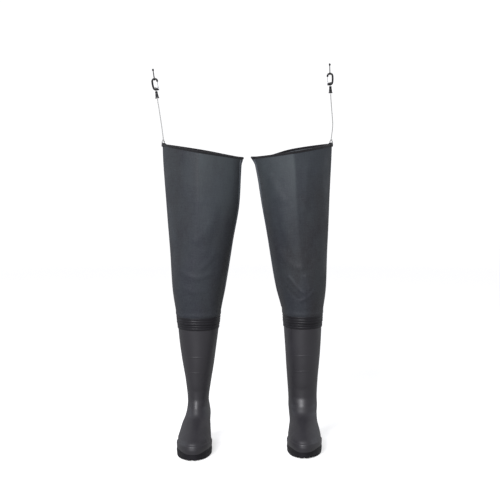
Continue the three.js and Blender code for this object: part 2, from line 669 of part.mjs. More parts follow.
// A loop of cord round the top of the bow, tied in a knot above it.
function beltLoop() {
  const r = LOOP_CORD_RADIUS;
  const low = BOW_CENTRE + HOOK_OPENING / 2 - 2 * CLEAR - r;
  const side = HOOK_DEPTH / 2 + CLEAR + r;
  const top = low + LOOP_HEIGHT;
  const outline = [
    [0, low], [0.75 * side, low + 0.5], [side + 0.5, low + 3.2], [side + 0.2, low + 8],
    [0.8 * side, low + 15], [0.4 * side, top - 4], [0, top - 1],
    [-0.4 * side, top - 4], [-0.8 * side, low + 15], [-side - 0.2, low + 8],
    [-side - 0.5, low + 3.2], [-0.75 * side, low + 0.5],
  ].map(([y, z]) => new THREE.Vector3(0, y, z));
  const loop = closedTube(new THREE.CatmullRomCurve3(outline, true), r, 28, 6);
  const lump = new THREE.SphereGeometry(LOOP_KNOT_RADIUS, 10, 7).scale(1, 1, 1.2)
    .translate(0, 0, top);
  return geometryOf(solid(loop).add(solid(lump)));
}

// ---- Assembly ----
function add(group, name, geometry, material) {
  const mesh = new THREE.Mesh(geometry, material);
  mesh.name = name;
  group.add(mesh);
}

// One wader in its own frame, with the outer side of the leg towards +X.
function wader(side) {
  const stance = STANCE[side];
  const profile = bootProfile(stance);
  const leg = sleeveProfile(profile, stance);
  const M = MATERIALS;
  const group = new THREE.Group();

  add(group, `${side}_outsole`, outsole(profile), M.outsole);
  add(group, `${side}_heel_cup`,
    heelWall(profile, SHELL_BASE, HEEL_CUP_TOP, SOLE_FLANGE, HEEL_CUP_LENGTH), M.outsole);
  add(group, `${side}_heel_spur`,
    heelWall(profile, SPUR_BASE, SPUR_BASE + SPUR_HEIGHT, SPUR_REACH, SPUR_LENGTH), M.boot);
  add(group, `${side}_boot_shell`, bootShell(profile), M.boot);
  add(group, `${side}_boot_lining`, bootLining(profile), M.lining);
  add(group, `${side}_insole`, insole(profile), M.insole);
  add(group, `${side}_collar_band`, collarBand(profile), M.band);

  add(group, `${side}_sleeve_cuff`, sleeve(leg, CUFF_HEIGHTS), M.sleeve);
  add(group, `${side}_sleeve_knee`, sleeve(leg, KNEE_HEIGHTS), M.sleeve);
  add(group, `${side}_sleeve_thigh`, sleeve(leg, [...THIGH_HEIGHTS, RIM_Z]), M.sleeve);
  add(group, `${side}_seam_knee`, seamTape(leg, KNEE_HEIGHTS), M.sleeve);
  add(group, `${side}_seam_thigh`, seamTape(leg, THIGH_HEIGHTS), M.sleeve);
  add(group, `${side}_rim_binding`, binding(leg), M.binding);
  add(group, `${side}_corner_patch`, cornerPatch(leg), M.binding);
  add(group, `${side}_strap_ring`, strapRing(leg), M.black);
  add(group, `${side}_cord_knot`, knot(leg), M.cord);
  add(group, `${side}_suspender_cord`, suspenderCord(leg, stance), M.cord);

  const head = new THREE.Group();
  add(head, `${side}_cord_ferrule`, ferrule(), M.black);
  add(head, `${side}_swivel_pin`, swivelPin(), M.steel);
  add(head, `${side}_hook`, hook(), M.black);
  add(head, `${side}_gate`, gate(), M.steel);
  add(head, `${side}_gate_pin`, gatePin(), M.steel);
  add(head, `${side}_gate_spring`, gateSpring(), M.steel);
  add(head, `${side}_belt_loop`, beltLoop(), M.loop);
  head.position.copy(cordPoints(leg, stance).at(-1)).add(new THREE.Vector3(0, 0, 2 * CLEAR + 0.3));
  head.rotation.y = THREE.MathUtils.degToRad(stance.headTilt);
  group.add(head);

  group.rotation.z = THREE.MathUtils.degToRad(stance.toeOut);
  return group;
}

const waders = new THREE.Group();
const left = wader('left');
left.position.set(PAIR_SPACING / 2, STANCE.left.stepBack, 0);
const right = new THREE.Group(); // the mirror image of a left wader
right.add(wader('right'));
right.scale.x = -1;
right.position.set(-PAIR_SPACING / 2, STANCE.right.stepBack, 0);
waders.add(left, right);

const bounds = new THREE.Box3().setFromObject(waders, true);
const middle = bounds.getCenter(new THREE.Vector3());
for (const half of [left, right]) {
  half.position.x -= middle.x;
  half.position.y -= middle.y;
}

export default waders;
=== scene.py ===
import json
import math

import bmesh
import bpy
import numpy as np
from bpy.props import FloatProperty, FloatVectorProperty, IntProperty, PointerProperty
from bpy.types import Operator, Panel, PropertyGroup
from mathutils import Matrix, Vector


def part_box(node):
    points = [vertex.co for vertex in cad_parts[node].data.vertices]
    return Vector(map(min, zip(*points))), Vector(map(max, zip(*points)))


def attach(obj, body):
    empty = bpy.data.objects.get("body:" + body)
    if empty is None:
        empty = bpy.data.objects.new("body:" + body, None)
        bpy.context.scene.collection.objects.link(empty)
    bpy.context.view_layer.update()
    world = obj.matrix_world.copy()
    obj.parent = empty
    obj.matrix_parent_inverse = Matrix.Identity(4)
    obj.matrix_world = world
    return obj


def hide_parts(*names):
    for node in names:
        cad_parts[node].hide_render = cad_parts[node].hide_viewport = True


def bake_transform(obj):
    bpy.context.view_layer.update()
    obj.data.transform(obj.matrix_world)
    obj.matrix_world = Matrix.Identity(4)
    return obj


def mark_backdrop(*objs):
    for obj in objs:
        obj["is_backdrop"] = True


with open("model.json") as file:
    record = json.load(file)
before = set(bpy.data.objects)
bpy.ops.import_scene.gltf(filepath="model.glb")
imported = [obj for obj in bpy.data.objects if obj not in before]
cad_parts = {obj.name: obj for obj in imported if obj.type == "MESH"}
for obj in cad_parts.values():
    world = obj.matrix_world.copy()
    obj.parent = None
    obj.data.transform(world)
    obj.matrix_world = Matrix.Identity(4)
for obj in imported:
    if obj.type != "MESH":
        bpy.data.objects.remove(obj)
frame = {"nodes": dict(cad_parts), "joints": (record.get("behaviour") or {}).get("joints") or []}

bl_info = {
    "name": "Hip Waders",
    "version": (1, 0, 0),
    "blender": (4, 5, 0),
    "location": "View3D > Sidebar > Waders",
    "description": "Builds a pair of hip waders, piece by piece, round its packed frame",
    "category": "Add Mesh",
}

MM = 0.001
SIDES = ("left", "right")
JOINTS = {joint["name"]: joint for joint in frame["joints"]}
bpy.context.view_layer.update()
CLEAR = 0.3 * MM  # between pieces that touch


# ---------------------------------------------------------------- properties

def length(name, metres, description):
    return FloatProperty(name=name, description=description, default=metres, min=0.0,
                         precision=4, unit="LENGTH")


def lengths(name, metres, description):
    return FloatVectorProperty(name=name, description=description, size=len(metres),
                               default=metres, precision=4, unit="LENGTH")


def pair(name, left, right, description):
    return lengths(name, (left, right), f"{description}, left and right")


def tint(name, rgb, description):
    return FloatVectorProperty(name=name, description=description, size=3, default=rgb,
                               min=0.0, max=1.0, subtype="COLOR")


class WaderSizes(PropertyGroup):
    """Sizes of the boots and the leg sleeves."""

    sole_thick: length("Sole", 0.018, "Height of the outsole")
    sole_flange: length("Sole flange", 0.0035, "How far the outsole stands out of the boot")
    tread_depth: length("Tread depth", 0.005, "Depth of the grooves in the outsole")
    tread_groove: length("Tread groove", 0.0055, "Width of a groove")
    tread_pitch: length("Tread pitch", 0.015, "From one groove to the next")
    toe_spring: length("Toe spring", 0.003, "How far the outsole's tip rises off the ground")
    foot_length: length("Foot", 0.290, "Length of the moulded foot")
    heel_back: length("Heel", 0.074, "Reach of the heel behind the shaft's axis")
    heel_width: length("Heel width", 0.077, "Width across the heel")
    ball_width: length("Ball width", 0.100, "Width across the ball of the foot")
    toe_height: length("Toe box", 0.045, "Height of the toe box over the outsole")
    toe_turn: length("Toe turn", 0.007, "Lean of the toe's tip towards the other foot")
    instep_height: length("Instep", 0.096, "Height of the instep")
    ankle_height: length("Ankle height", 0.140, "Height of the narrowest part")
    ankle_depth: length("Ankle depth", 0.112, "Front to back at the ankle")
    ankle_width: pair("Ankle width", 0.084, 0.061, "Width at the ankle")
    collar_height: length("Collar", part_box("left_boot_shell")[1].z, "Top of the moulded boot")
    collar_depth: length("Collar depth", 0.146, "Front to back at the collar")
    collar_width: pair("Collar width", 0.114, 0.124, "Width at the collar")
    boot_wall: length("Boot wall", 0.0032, "Thickness of the moulded wall")
    rand_height: length("Rand", 0.022, "Height of the raised rand over the outsole")
    band_height: length("Collar band", 0.015, "Height of the ribbed band under the sleeve")
    rib_count: IntProperty(name="Ribs", description="Ribs on the collar band", default=2, min=1)
    rib_height: length("Rib height", 0.0012, "How far a rib stands out")
    sleeve_wall: length("Sleeve wall", 0.0015, "Thickness of the coated cloth")
    sleeve_lap: length("Sleeve lap", 0.020, "Lap of the sleeve over the collar")
    cuff_rise: length("Cuff rise", 0.023, "Stiff part of the sleeve over the collar")
    knee_length: length("Knee", 0.210, "Length of the sleeve that bends")
    knee_depth: length("Knee depth", 0.164, "Front to back at the knee")
    rim_height: length("Rim height", 0.866, "Middle of the slanted rim")
    rim_drop: length("Rim drop", 0.038, "From the outer corner of the rim to the inner one")
    rim_width: length("Rim width", 0.232, "Width of the flattened rim")
    rim_depth: length("Rim depth", 0.148, "Front to back at the rim")
    slim_left: lengths("Left slimness", (0.002, 0.0034, 0.0032, 0.0023, 0.0),
                       "How much slimmer the sleeve hangs, from knee to rim")
    slim_right: lengths("Right slimness", (0.001, 0.0, -0.003, -0.002, 0.0),
                        "How much slimmer the sleeve hangs, from knee to rim")
    back_rise: pair("Back rise", 0.002, -0.004, "Rise of the rim's back over its front")
    back_dip: pair("Back dip", 0.007, 0.001, "Sag of the rim's back near its inner corner")
    lean_left: lengths("Left lean", (0.0041, 0.0135, 0.0217, 0.0268, 0.032),
                       "Lean towards the other leg, from knee to rim")
    lean_right: lengths("Right lean", (0.0005, 0.0075, 0.0138, 0.0125, 0.0129),
                        "Lean towards the other leg, from knee to rim")
    binding_height: length("Binding", 0.004, "Height of the tape folded over the rim")
    binding_wall: length("Binding wall", 0.0011, "Thickness of that tape")
    seam_width: length("Seam tape", 0.011, "Width of the tape over the inner seam")
    patch_height: length("Corner patch", 0.0065, "Height of the patch at the outer corner")
    patch_wall: length("Patch wall", 0.0012, "Thickness of the patch")


class SuspenderSizes(PropertyGroup):
    """Sizes of the suspender's cord, ferrule, hook and loop."""

    ring_width: length("Ring width", 0.008, "Width of the wire ring")
    ring_height: length("Ring height", 0.008, "Height of the wire ring")
    ring_wire: length("Ring wire", 0.0009, "Radius of the ring's wire")
    cord_radius: length("Cord", 0.0016, "Radius of the elastic cord")
    knot_radius: length("Knot", 0.0029, "Radius of the cord's knots")
    ferrule_height: length("Ferrule", 0.020, "Height of the black clamp on the cord")
    swivel_radius: length("Swivel", 0.0015, "Radius of the pin that the hook turns on")
    hook_depth: length("Hook depth", 0.006, "Front to back of the hook's bar")
    hook_bar: length("Hook bar", 0.0048, "Thickness of the hook's bow")
    hook_opening: length("Hook opening", 0.010, "Inside width of the bow")
    loop_radius: length("Loop cord", 0.0011, "Radius of the belt loop's cord")
    loop_height: length("Loop height", 0.030, "Height of the belt loop")


class WaderFinish(PropertyGroup):
    """Colours of the finishes."""

    boot: tint("Boot", (0.0150, 0.0135, 0.0185), "Satin moulded boot")
    outsole: tint("Outsole", (0.0065, 0.006, 0.0085), "Matt moulded sole compound")
    band: tint("Collar band", (0.0125, 0.0118, 0.0150), "Ribbed band on the collar")
    sleeve: tint("Sleeve", (0.0218, 0.0188, 0.0220), "Coated outside of the leg sleeve")
    sleeve_cool: tint("Sleeve, cool", (0.0225, 0.0232, 0.0330), "Bluish parts of the coating")
    # Lighter tone for the coat's clouds and grain, and the painted highlight towards the rim and
    # in the panel beside the front crease
    sleeve_pale_and_lit: tint("Sleeve, light", (0.0560, 0.0660, 0.0720), "Paler parts, near the rim")
    sleeve_inside: tint("Sleeve inside", (0.10, 0.11, 0.12), "Cloth side of the leg sleeve")
    lining: tint("Lining", (0.095, 0.098, 0.108), "Knitted lining of the boot")
    insole: tint("Insole", (0.022, 0.022, 0.024), "Felt insole")
    tape: tint("Tape", (0.0045, 0.0043, 0.0060), "Binding and corner patch")
    thread: tint("Thread", (0.016, 0.016, 0.018), "Stitching")
    cord: tint("Cord", (0.62, 0.62, 0.60), "Elastic suspender cord")
    loop: tint("Loop", (0.008, 0.008, 0.009), "Belt loop's cord")
    coating: tint("Hook coating", (0.0035, 0.0035, 0.0042), "Black coating of the hardware")
    steel: tint("Steel", (0.56, 0.57, 0.59), "Gate, pins and springs")


class StageSizes(PropertyGroup):
    """Where the camera stands, and how it looks."""

    distance: length("Distance", 4.67, "From the camera to the shafts' axes")
    height: length("Height", 1.040, "Of the camera over the floor")
    tilt: FloatProperty(name="Tilt", description="How far the camera looks down",
                        default=math.radians(5.65), subtype="ANGLE")
    lens: FloatProperty(name="Lens", description="Focal length", default=115.9, unit="CAMERA")
    aside: length("Aside", 0.002, "How far the camera stands towards the right wader")


# ------------------------------------------------------------- curves and surfaces

def lerp(a, b, share):
    return a + (b - a) * share


def round_turn(count, start=0.0):
    """Angles evenly spaced round a full turn."""
    return np.linspace(start, start + 2 * math.pi, count, endpoint=False)


def smooth(x, low, high):
    """Smoothstep: 0 up to low, 1 from high, and 3p^2 - 2p^3 of the share p between them."""
    p = np.clip((x - low) / (high - low), 0.0, 1.0)
    return p * p * (3.0 - 2.0 * p)


def hump(x, middle, width):
    """A bell: exp of minus the square of the distance from the middle over the width."""
    return np.exp(-((x - middle) / width) ** 2)


def unit(vectors):
    return vectors / np.linalg.norm(vectors, axis=-1, keepdims=True)


def track(stations):
    """A smooth curve through stations, each a key and its values: cubic Hermite pieces, whose
    slope at a station is the mean of the slopes of the two chords that meet there."""
    table = np.array(stations, float)
    keys, values = table[:, 0], table[:, 1:]
    chords = np.diff(values, axis=0) / np.diff(keys)[:, None]
    slopes = np.vstack([chords[:1], (chords[:-1] + chords[1:]) / 2, chords[-1:]])

    def at(key):
        key = np.clip(key, keys[0], keys[-1])
        i = np.clip(np.searchsorted(keys, key, side="right") - 1, 0, len(keys) - 2)
        gap = (keys[i + 1] - keys[i])[..., None]
        p = (key - keys[i])[..., None] / gap
        return ((1 + 2 * p) * (1 - p) ** 2 * values[i] + p * (1 - p) ** 2 * gap * slopes[i]
                + p * p * (3 - 2 * p) * values[i + 1] + p * p * (p - 1) * gap * slopes[i + 1])
    return at


def smooth_path(points, steps, loop=False):
    """Evenly spaced points on the smooth curve through points, keyed by the length of its
    chords. A loop's points are carried on past both ends, so that it closes smoothly."""
    points = np.array(points, float)
    around = np.vstack([points[-3:], points, points[:4]]) if loop else points
    keys = np.concatenate([[0.0], np.cumsum(np.linalg.norm(np.diff(around, axis=0), axis=1))])
    curve = track(np.column_stack([keys, around]))
    if loop:
        return curve(np.linspace(keys[3], keys[3 + len(points)], steps, endpoint=False))
    return curve(np.linspace(0.0, keys[-1], steps))


def rounded(half_width, half_depth, power, count):
    """A superellipse: each of cos and sin to the given power, times its half size."""
    q = round_turn(count)
    return np.stack([half_width * np.sign(np.cos(q)) * np.abs(np.cos(q)) ** power,
                     half_depth * np.sign(np.sin(q)) * np.abs(np.sin(q)) ** power], -1)


def wire_tube(path, radius, across, count, loop=False):
    """A round tube along a path."""
    return sweep(path, rounded(radius, radius, 1, count), across, loop)


def sweep(path, section, across, loop=False):
    """A section carried along a path. Its first coordinate runs along the unit vector of
    tangent x across, its second along the vector square to that and to the tangent."""
    if loop:
        tangent = np.roll(path, -1, 0) - np.roll(path, 1, 0)
    else:
        tangent = np.gradient(path, axis=0)
    tangent = unit(tangent)
    side = unit(np.cross(tangent, across))
    other = np.cross(side, tangent)
    section = np.broadcast_to(section, (len(path),) + np.shape(section)[-2:])
    return path[:, None] + section[..., :1] * side[:, None] + section[..., 1:] * other[:, None]


def pole(row):
    """A row of the same length, all at the row's middle."""
    return np.broadcast_to(row.mean(0), row.shape)[None]


def capped(rows):
    """The rows of a tube, with a pole at the middle of each end."""
    return np.concatenate([pole(rows[0]), rows, pole(rows[-1])])


def lathe(profile, count):
    """A profile of radius and height turned round the Z axis: (r cos q, r sin q, h)."""
    r, h = np.array(profile, float).T
    q = round_turn(count)[None]
    return np.stack(np.broadcast_arrays(r[:, None] * np.cos(q), r[:, None] * np.sin(q),
                                        h[:, None]), -1)


def fillet(profile, radius, steps=4):
    """A polyline whose inner corners are cut off at radius and rounded by the quadratic curve
    (1-p)^2 before + 2p(1-p) corner + p^2 after."""
    points = np.array(profile, float)
    corner, before, after = points[1:-1], points[:-2], points[2:]
    reach = np.minimum(radius, 0.45 * np.minimum(np.linalg.norm(before - corner, axis=1),
                                                 np.linalg.norm(after - corner, axis=1)))
    start = corner + unit(before - corner) * reach[:, None]
    end = corner + unit(after - corner) * reach[:, None]
    p = np.linspace(0, 1, steps)[None, :, None]
    arcs = (1 - p) ** 2 * start[:, None] + 2 * p * (1 - p) * corner[:, None] + p * p * end[:, None]
    return np.vstack([points[:1], arcs.reshape(-1, points.shape[1]), points[-1:]])


def knot_tube(radius, height, wire):
    """A knot: a tube along the torus knot with angle a, at (R + r cos 3a)(cos 2a, sin 2a) and
    height h sin 3a, where R and r share out the knot's radius."""
    a = round_turn(120)
    ring = 0.55 * (radius - wire) + 0.45 * (radius - wire) * np.cos(3 * a)
    path = np.stack([ring * np.cos(2 * a), ring * np.sin(2 * a),
                     (height - wire) * np.sin(3 * a)], -1)
    outwards = path + np.array([0.0, 0.0, 10 * height])
    return wire_tube(path, wire, outwards, 10, loop=True)


# ---------------------------------------------------------------------- meshes

def grid(points, loop_rows=False, loop_cols=False, uv=(1.0, 1.0), surface=0):
    """A surface given as rows of points, or as a stack of such surfaces. uv is its size in
    metres along the columns and along the rows, and surface the number of its material."""
    return {"points": points, "loop_rows": loop_rows, "loop_cols": loop_cols, "uv": uv,
            "surface": surface}


def grid_mesh(name, grids):
    """One mesh of grids of quads. Where rows or columns loop, the last joins the first, and
    the UV map runs on to the seam. Points that meet, as at a pole, are merged, and a closed
    mesh whose volume comes out negative is turned right side out."""
    points, faces, uvs, surfaces, start = [], [], [], [], 0
    for g in grids:
        stack = g["points"].reshape((-1,) + g["points"].shape[-3:])
        count, rows, cols = stack.shape[:3]
        i, j = np.meshgrid(np.arange(rows - (not g["loop_rows"])),
                           np.arange(cols - (not g["loop_cols"])), indexing="ij")
        i = i.ravel()[:, None] + np.array([0, 0, 1, 1])
        j = j.ravel()[:, None] + np.array([0, 1, 1, 0])
        corners = (i % rows) * cols + j % cols
        copies = start + rows * cols * np.arange(count)[:, None, None]
        faces.append((corners[None] + copies).reshape(-1, 4))
        uv = np.stack([j / (cols - (not g["loop_cols"])) * g["uv"][0],
                       i / (rows - (not g["loop_rows"])) * g["uv"][1]], -1)
        uvs.append(np.tile(uv.reshape(-1, 2), (count, 1)))
        surfaces.append(np.full(count * len(corners), g["surface"]))
        points.append(stack.reshape(-1, 3))
        start += count * rows * cols
    points, faces = np.concatenate(points), np.concatenate(faces)
    a, b, c, d = (points[faces[:, k]] for k in range(4))
    volume = np.einsum("ij,ij->i", np.cross(b - a, c - a), a).sum()
    volume += np.einsum("ij,ij->i", np.cross(c - a, d - a), a).sum()
    uvs = np.concatenate(uvs).reshape(-1, 4, 2)
    if volume < 0:
        faces, uvs = faces[:, ::-1], uvs[:, ::-1]
    mesh = bpy.data.meshes.new(name)
    mesh.from_pydata(points.tolist(), [], faces.tolist())
    mesh.uv_layers.new(name="Surface").data.foreach_set("uv", uvs.ravel())
    mesh.polygons.foreach_set("material_index", np.concatenate(surfaces).astype(np.int32))
    work = bmesh.new()
    work.from_mesh(mesh)
    bmesh.ops.remove_doubles(work, verts=work.verts, dist=1e-7)
    work.to_mesh(mesh)
    work.free()
    mesh.polygons.foreach_set("use_smooth", np.ones(len(mesh.polygons), bool))
    return mesh


def tube_grid(points, uv=(1.0, 1.0), surface=0):
    """A grid whose columns loop."""
    return grid(points, loop_cols=True, uv=uv, surface=surface)


def piece(name, grids, slots, sharp=math.radians(48)):
    """A new object of the given grids, with one finish for each slot. Edges over the sharp
    angle are shaded sharp."""
    mesh = grid_mesh(name, grids)
    mesh.set_sharp_from_angle(angle=sharp)
    thing = bpy.data.objects.new(name, mesh)
    bpy.context.scene.collection.objects.link(thing)
    for slot in slots:
        mesh.materials.append(finish(slot))
    return thing


# -------------------------------------------------------------------- one wader

TOE_SHAPE = track([[-1, 0.86], [-0.72, 0.97], [-0.36, 1], [0, 1]])
KNEE_PLACE = (-0.008, -0.070, 0.513)  # of the knee's axis, in a wader's own frame
AROUND = 20  # facets of the frame's sleeve


class Wader:
    """The surfaces of one wader in its own frame: metres, outer side +X, toes -Y, ground z = 0.
    The frame's axes come from its knee joint. The right wader is the mirror image of a left."""

    def __init__(self, side):
        k = SIDES.index(side)
        s = self.size = bpy.context.scene.wader_sizes
        self.hardware = bpy.context.scene.suspender_sizes
        self.side, self.sign = side, (1, -1)[k]
        knee = JOINTS[f"{side}_knee"]
        self.x_axis = self.sign * np.array(knee["axis"])
        self.y_axis = self.sign * np.array([-self.x_axis[1], self.x_axis[0], 0.0])
        self.origin = np.array(knee["pos_m"]) - (
            KNEE_PLACE[0] * self.x_axis + KNEE_PLACE[1] * self.y_axis)
        self.origin[2] = 0.0

        swivel = JOINTS[f"{side}_hook_swivel"]
        self.head_origin = np.array(swivel["pos_m"])
        self.head_z = np.array(swivel["axis"])
        self.head_x = self.sign * np.cross(self.y_axis, self.head_z)

        self.boot = self.boot_track(s.ankle_width[k] / 2, s.collar_width[k] / 2)
        self.leg = self.leg_track((s.lean_left, s.lean_right)[k], (s.slim_left, s.slim_right)[k])
        self.rise, self.dip = s.back_rise[k] / 2, s.back_dip[k]
        self.knee_low = s.collar_height + s.cuff_rise
        self.knee_high = self.knee_low + s.knee_length

    def place(self, points):
        """Points of the wader's own frame in the row frame."""
        return (self.origin + points[..., :1] * self.x_axis + points[..., 1:2] * self.y_axis
                + points[..., 2:] * np.array([0.0, 0.0, 1.0]))

    def place_head(self, points):
        """Points of the hook's frame, Z along the hook and +X towards its spine."""
        return (self.head_origin + points[..., :1] * self.head_x
                + points[..., 1:2] * self.y_axis + points[..., 2:] * self.head_z)

    def boot_track(self, ankle, collar):
        """Front, back, half width at the ball or shin and half width at the heel, by height."""
        s = self.size
        ball, heel = s.ball_width / 2, s.heel_width / 2
        toe, back = s.heel_back - s.foot_length, s.heel_back
        ankle_front, ankle_back = -s.ankle_depth / 2 - 2 * MM, s.ankle_depth / 2 - 2 * MM
        sole, top, instep = s.sole_thick, s.sole_thick + s.toe_height, s.instep_height

        def shaft(share, front, rear, half):
            width = lerp(ankle, collar, half)
            return [lerp(s.ankle_height, s.collar_height, share),
                    lerp(ankle_front, 4 * MM - s.collar_depth / 2, front),
                    lerp(ankle_back, 4 * MM + s.collar_depth / 2, rear), width, width]

        return track([
            [sole, toe + MM, back - 2 * MM, ball - MM, heel - 2 * MM],
            [sole + 0.35 * s.toe_height, toe, back, ball, heel - MM],
            [sole + 0.72 * s.toe_height, toe + 9 * MM, back, ball - MM, heel],
            [top, toe + 38 * MM, back - 2 * MM, ball - 4 * MM, heel],
            [(top + instep) / 2, toe + 76 * MM, back - 4 * MM, ball - 8 * MM, heel],
            [instep, (toe + 110 * MM + ankle_front) / 2 - 8 * MM, back - 8 * MM,
             (ball - 8 * MM + ankle) / 2, heel - 0.5 * MM],
            [(instep + s.ankle_height) / 2, ankle_front - 11 * MM, ankle_back + 5 * MM,
             ankle + MM, (ankle + heel) / 2],
            shaft(0, 0, 0, 0), shaft(0.22, 0.04, 0.04, 0.2), shaft(0.45, 0.4, 0.42, 0.5),
            shaft(0.76, 0.78, 0.8, 0.82), shaft(1, 1, 1, 1),
        ])

    def boot_point(self, turn, z, inset=0.0, out=0.0):
        """The boot's surface. At each height it is a ring: along = -cos(turn) from toe to heel,
        across = sin(turn). The half width goes from the ball's to the heel's along the foot,
        with a waist between, and |across| is raised to 0.82 where the toe is square. inset
        draws the surface in, to the inside of a wall, and out lets relief stand out of it."""
        s = self.size
        inner = z + np.where(z < s.ankle_height, 0.8 * inset, 0.0)
        front, back, ball, heel = np.moveaxis(self.boot(inner), -1, 0)
        oval = smooth(z, s.sole_thick + 0.6 * s.toe_height, s.ankle_height - 4 * MM)
        along, across = -np.cos(turn), np.sin(turn)
        waist = 1 - 0.12 * (1 - oval) * hump(along, 0.18, 0.3)
        shape = lerp(TOE_SHAPE(along)[..., 0], 1.0, oval)
        half = waist * lerp(ball * shape, heel, smooth(along, -0.25, 0.55))
        toe = (1 - oval) * s.toe_turn * np.maximum(0.0, -along) ** 2
        bulge = np.sign(across) * np.abs(across) ** lerp(0.82, 1.0, oval)
        x = bulge * (half + out - inset) - toe
        y = (front + back) / 2 + along * ((back - front) / 2 + out - inset)
        return np.stack(np.broadcast_arrays(x, y, z), -1)

    def leg_track(self, lean, slim):
        """Middle, half width, half depth and sharpness of the sleeve, by height."""
        s = self.size
        lap = s.collar_height - s.sleeve_lap
        over = CLEAR + s.sleeve_wall
        lap_front, lap_back, lap_half, _ = self.boot(np.array(lap))
        front, back, half, _ = self.boot(np.array(s.collar_height))

        def station(i, share, middle, width, fullness, sharp):
            return [lerp(s.collar_height, s.rim_height, share), -lean[i], middle * MM,
                    lerp(half + over, s.rim_width / 2, width) - slim[i],
                    lerp(s.knee_depth / 2, s.rim_depth / 2, fullness), sharp]

        return track([
            [lap, 0, (lap_front + lap_back) / 2, lap_half + over,
             (lap_back - lap_front) / 2 + over, 0],
            [s.collar_height + MM, 0, (front + back) / 2, half + over,
             (back - front) / 2 + over, 0],
            station(0, 0.17, 4, 0.27, -0.2, 0.04), station(1, 0.42, 3, 0.54, 0, 0.14),
            station(2, 0.67, 1, 0.77, 0.35, 0.28), station(3, 0.9, 0, 0.92, 0.8, 0.45),
            station(4, 1.02, 0, 1, 1, 0.55),
        ])

    def sleeve_point(self, turn, z, out=0.0, draped=True):
        """The sleeve's outside. At each height it is an oval whose front and back flatten
        towards the rim: (sin t * half width, -cos t * |cos t|^sharp * half depth) from its
        middle. Above the knee its heights slant up towards the outer corner. The drape's folds
        stand out of it, and out moves it further."""
        s = self.size
        x, y, half, depth, sharp = np.moveaxis(self.leg(z), -1, 0)
        along, across = -np.cos(turn), np.sin(turn)
        if draped:
            out = out + self.drape(turn, z, across * half)
        slant = smooth(z, self.knee_high, s.rim_height)
        up = slant * (s.rim_drop / s.rim_width * across * half + self.rise * along)
        up = up - slant * self.dip * smooth(along, 0.0, 0.6) * hump(across, -0.6, 0.4)
        return np.stack(np.broadcast_arrays(
            x + across * (half + out), y + along * np.abs(along) ** sharp * (depth + out),
            z + up), -1)

    def drape(self, turn, z, u):
        """How far the cloth stands out of its plain oval, at u metres outwards from the
        middle: a pressed crease down the front and the back, a puff over the weld, long soft
        waves, and fold lines on the front."""
        s = self.size
        rim = s.rim_height
        off_front = np.abs(np.mod(turn + math.pi, 2 * math.pi) - math.pi)
        front, back = smooth(-off_front, -1.5, -0.9), smooth(off_front, 1.7, 2.3)
        style = DRAPES[self.side]
        at = lerp(*style["crease"], (z - self.knee_low) / (rim - self.knee_low))
        rise = smooth(z, self.knee_low - 10 * MM, rim - 120 * MM)
        crease = np.exp(-np.sqrt((u - at) ** 2 + (2 * MM) ** 2) / (22 * MM))
        out = (front * 6 * MM * crease + back * 2.5 * MM * crease) * lerp(0.25, 1.0, rise)
        weld = s.collar_height + 7 * MM
        out = out + 1.3 * MM * hump(z, weld, 7 * MM) * smooth(z, s.collar_height - 3 * MM, weld)
        corner = smooth(-np.sin(turn), 0.93, 1.0) * smooth(z, rim - 24 * MM, rim)
        out = out + style["flare"] * corner
        soft = smooth(z, self.knee_low - 15 * MM, self.knee_low + 60 * MM)
        soft = soft * (1 - 0.7 * smooth(z, rim - 60 * MM, rim))
        for around, along, phase, size in style["waves"]:
            out = out + soft * size * MM * np.sin(around * turn + along * z / 0.1 + phase)
        for u0, z0, u1, z1, sag, width, size in style["folds"]:
            run = np.clip(((u - u0 * MM) * (u1 - u0) + (z - z0 * MM) * (z1 - z0))
                          / (((u1 - u0) ** 2 + (z1 - z0) ** 2) * MM), 0.0, 1.0)
            near_u = lerp(u0, u1, run) * MM
            near_z = (lerp(z0, z1, run) - sag * 4 * run * (1 - run)) * MM
            away = np.hypot(u - near_u, z - near_z)
            out = out + front * size * MM * hump(away, 0.0, width * MM)
        return out

    def rim_point(self, turn, down, out):
        """A point beside the rim, this far down from it. Over the rim it only rises."""
        below = np.maximum(0.0, down)
        point = self.sleeve_point(turn, self.size.rim_height - below, out)
        point[..., 2] += np.maximum(0.0, -down)
        return point


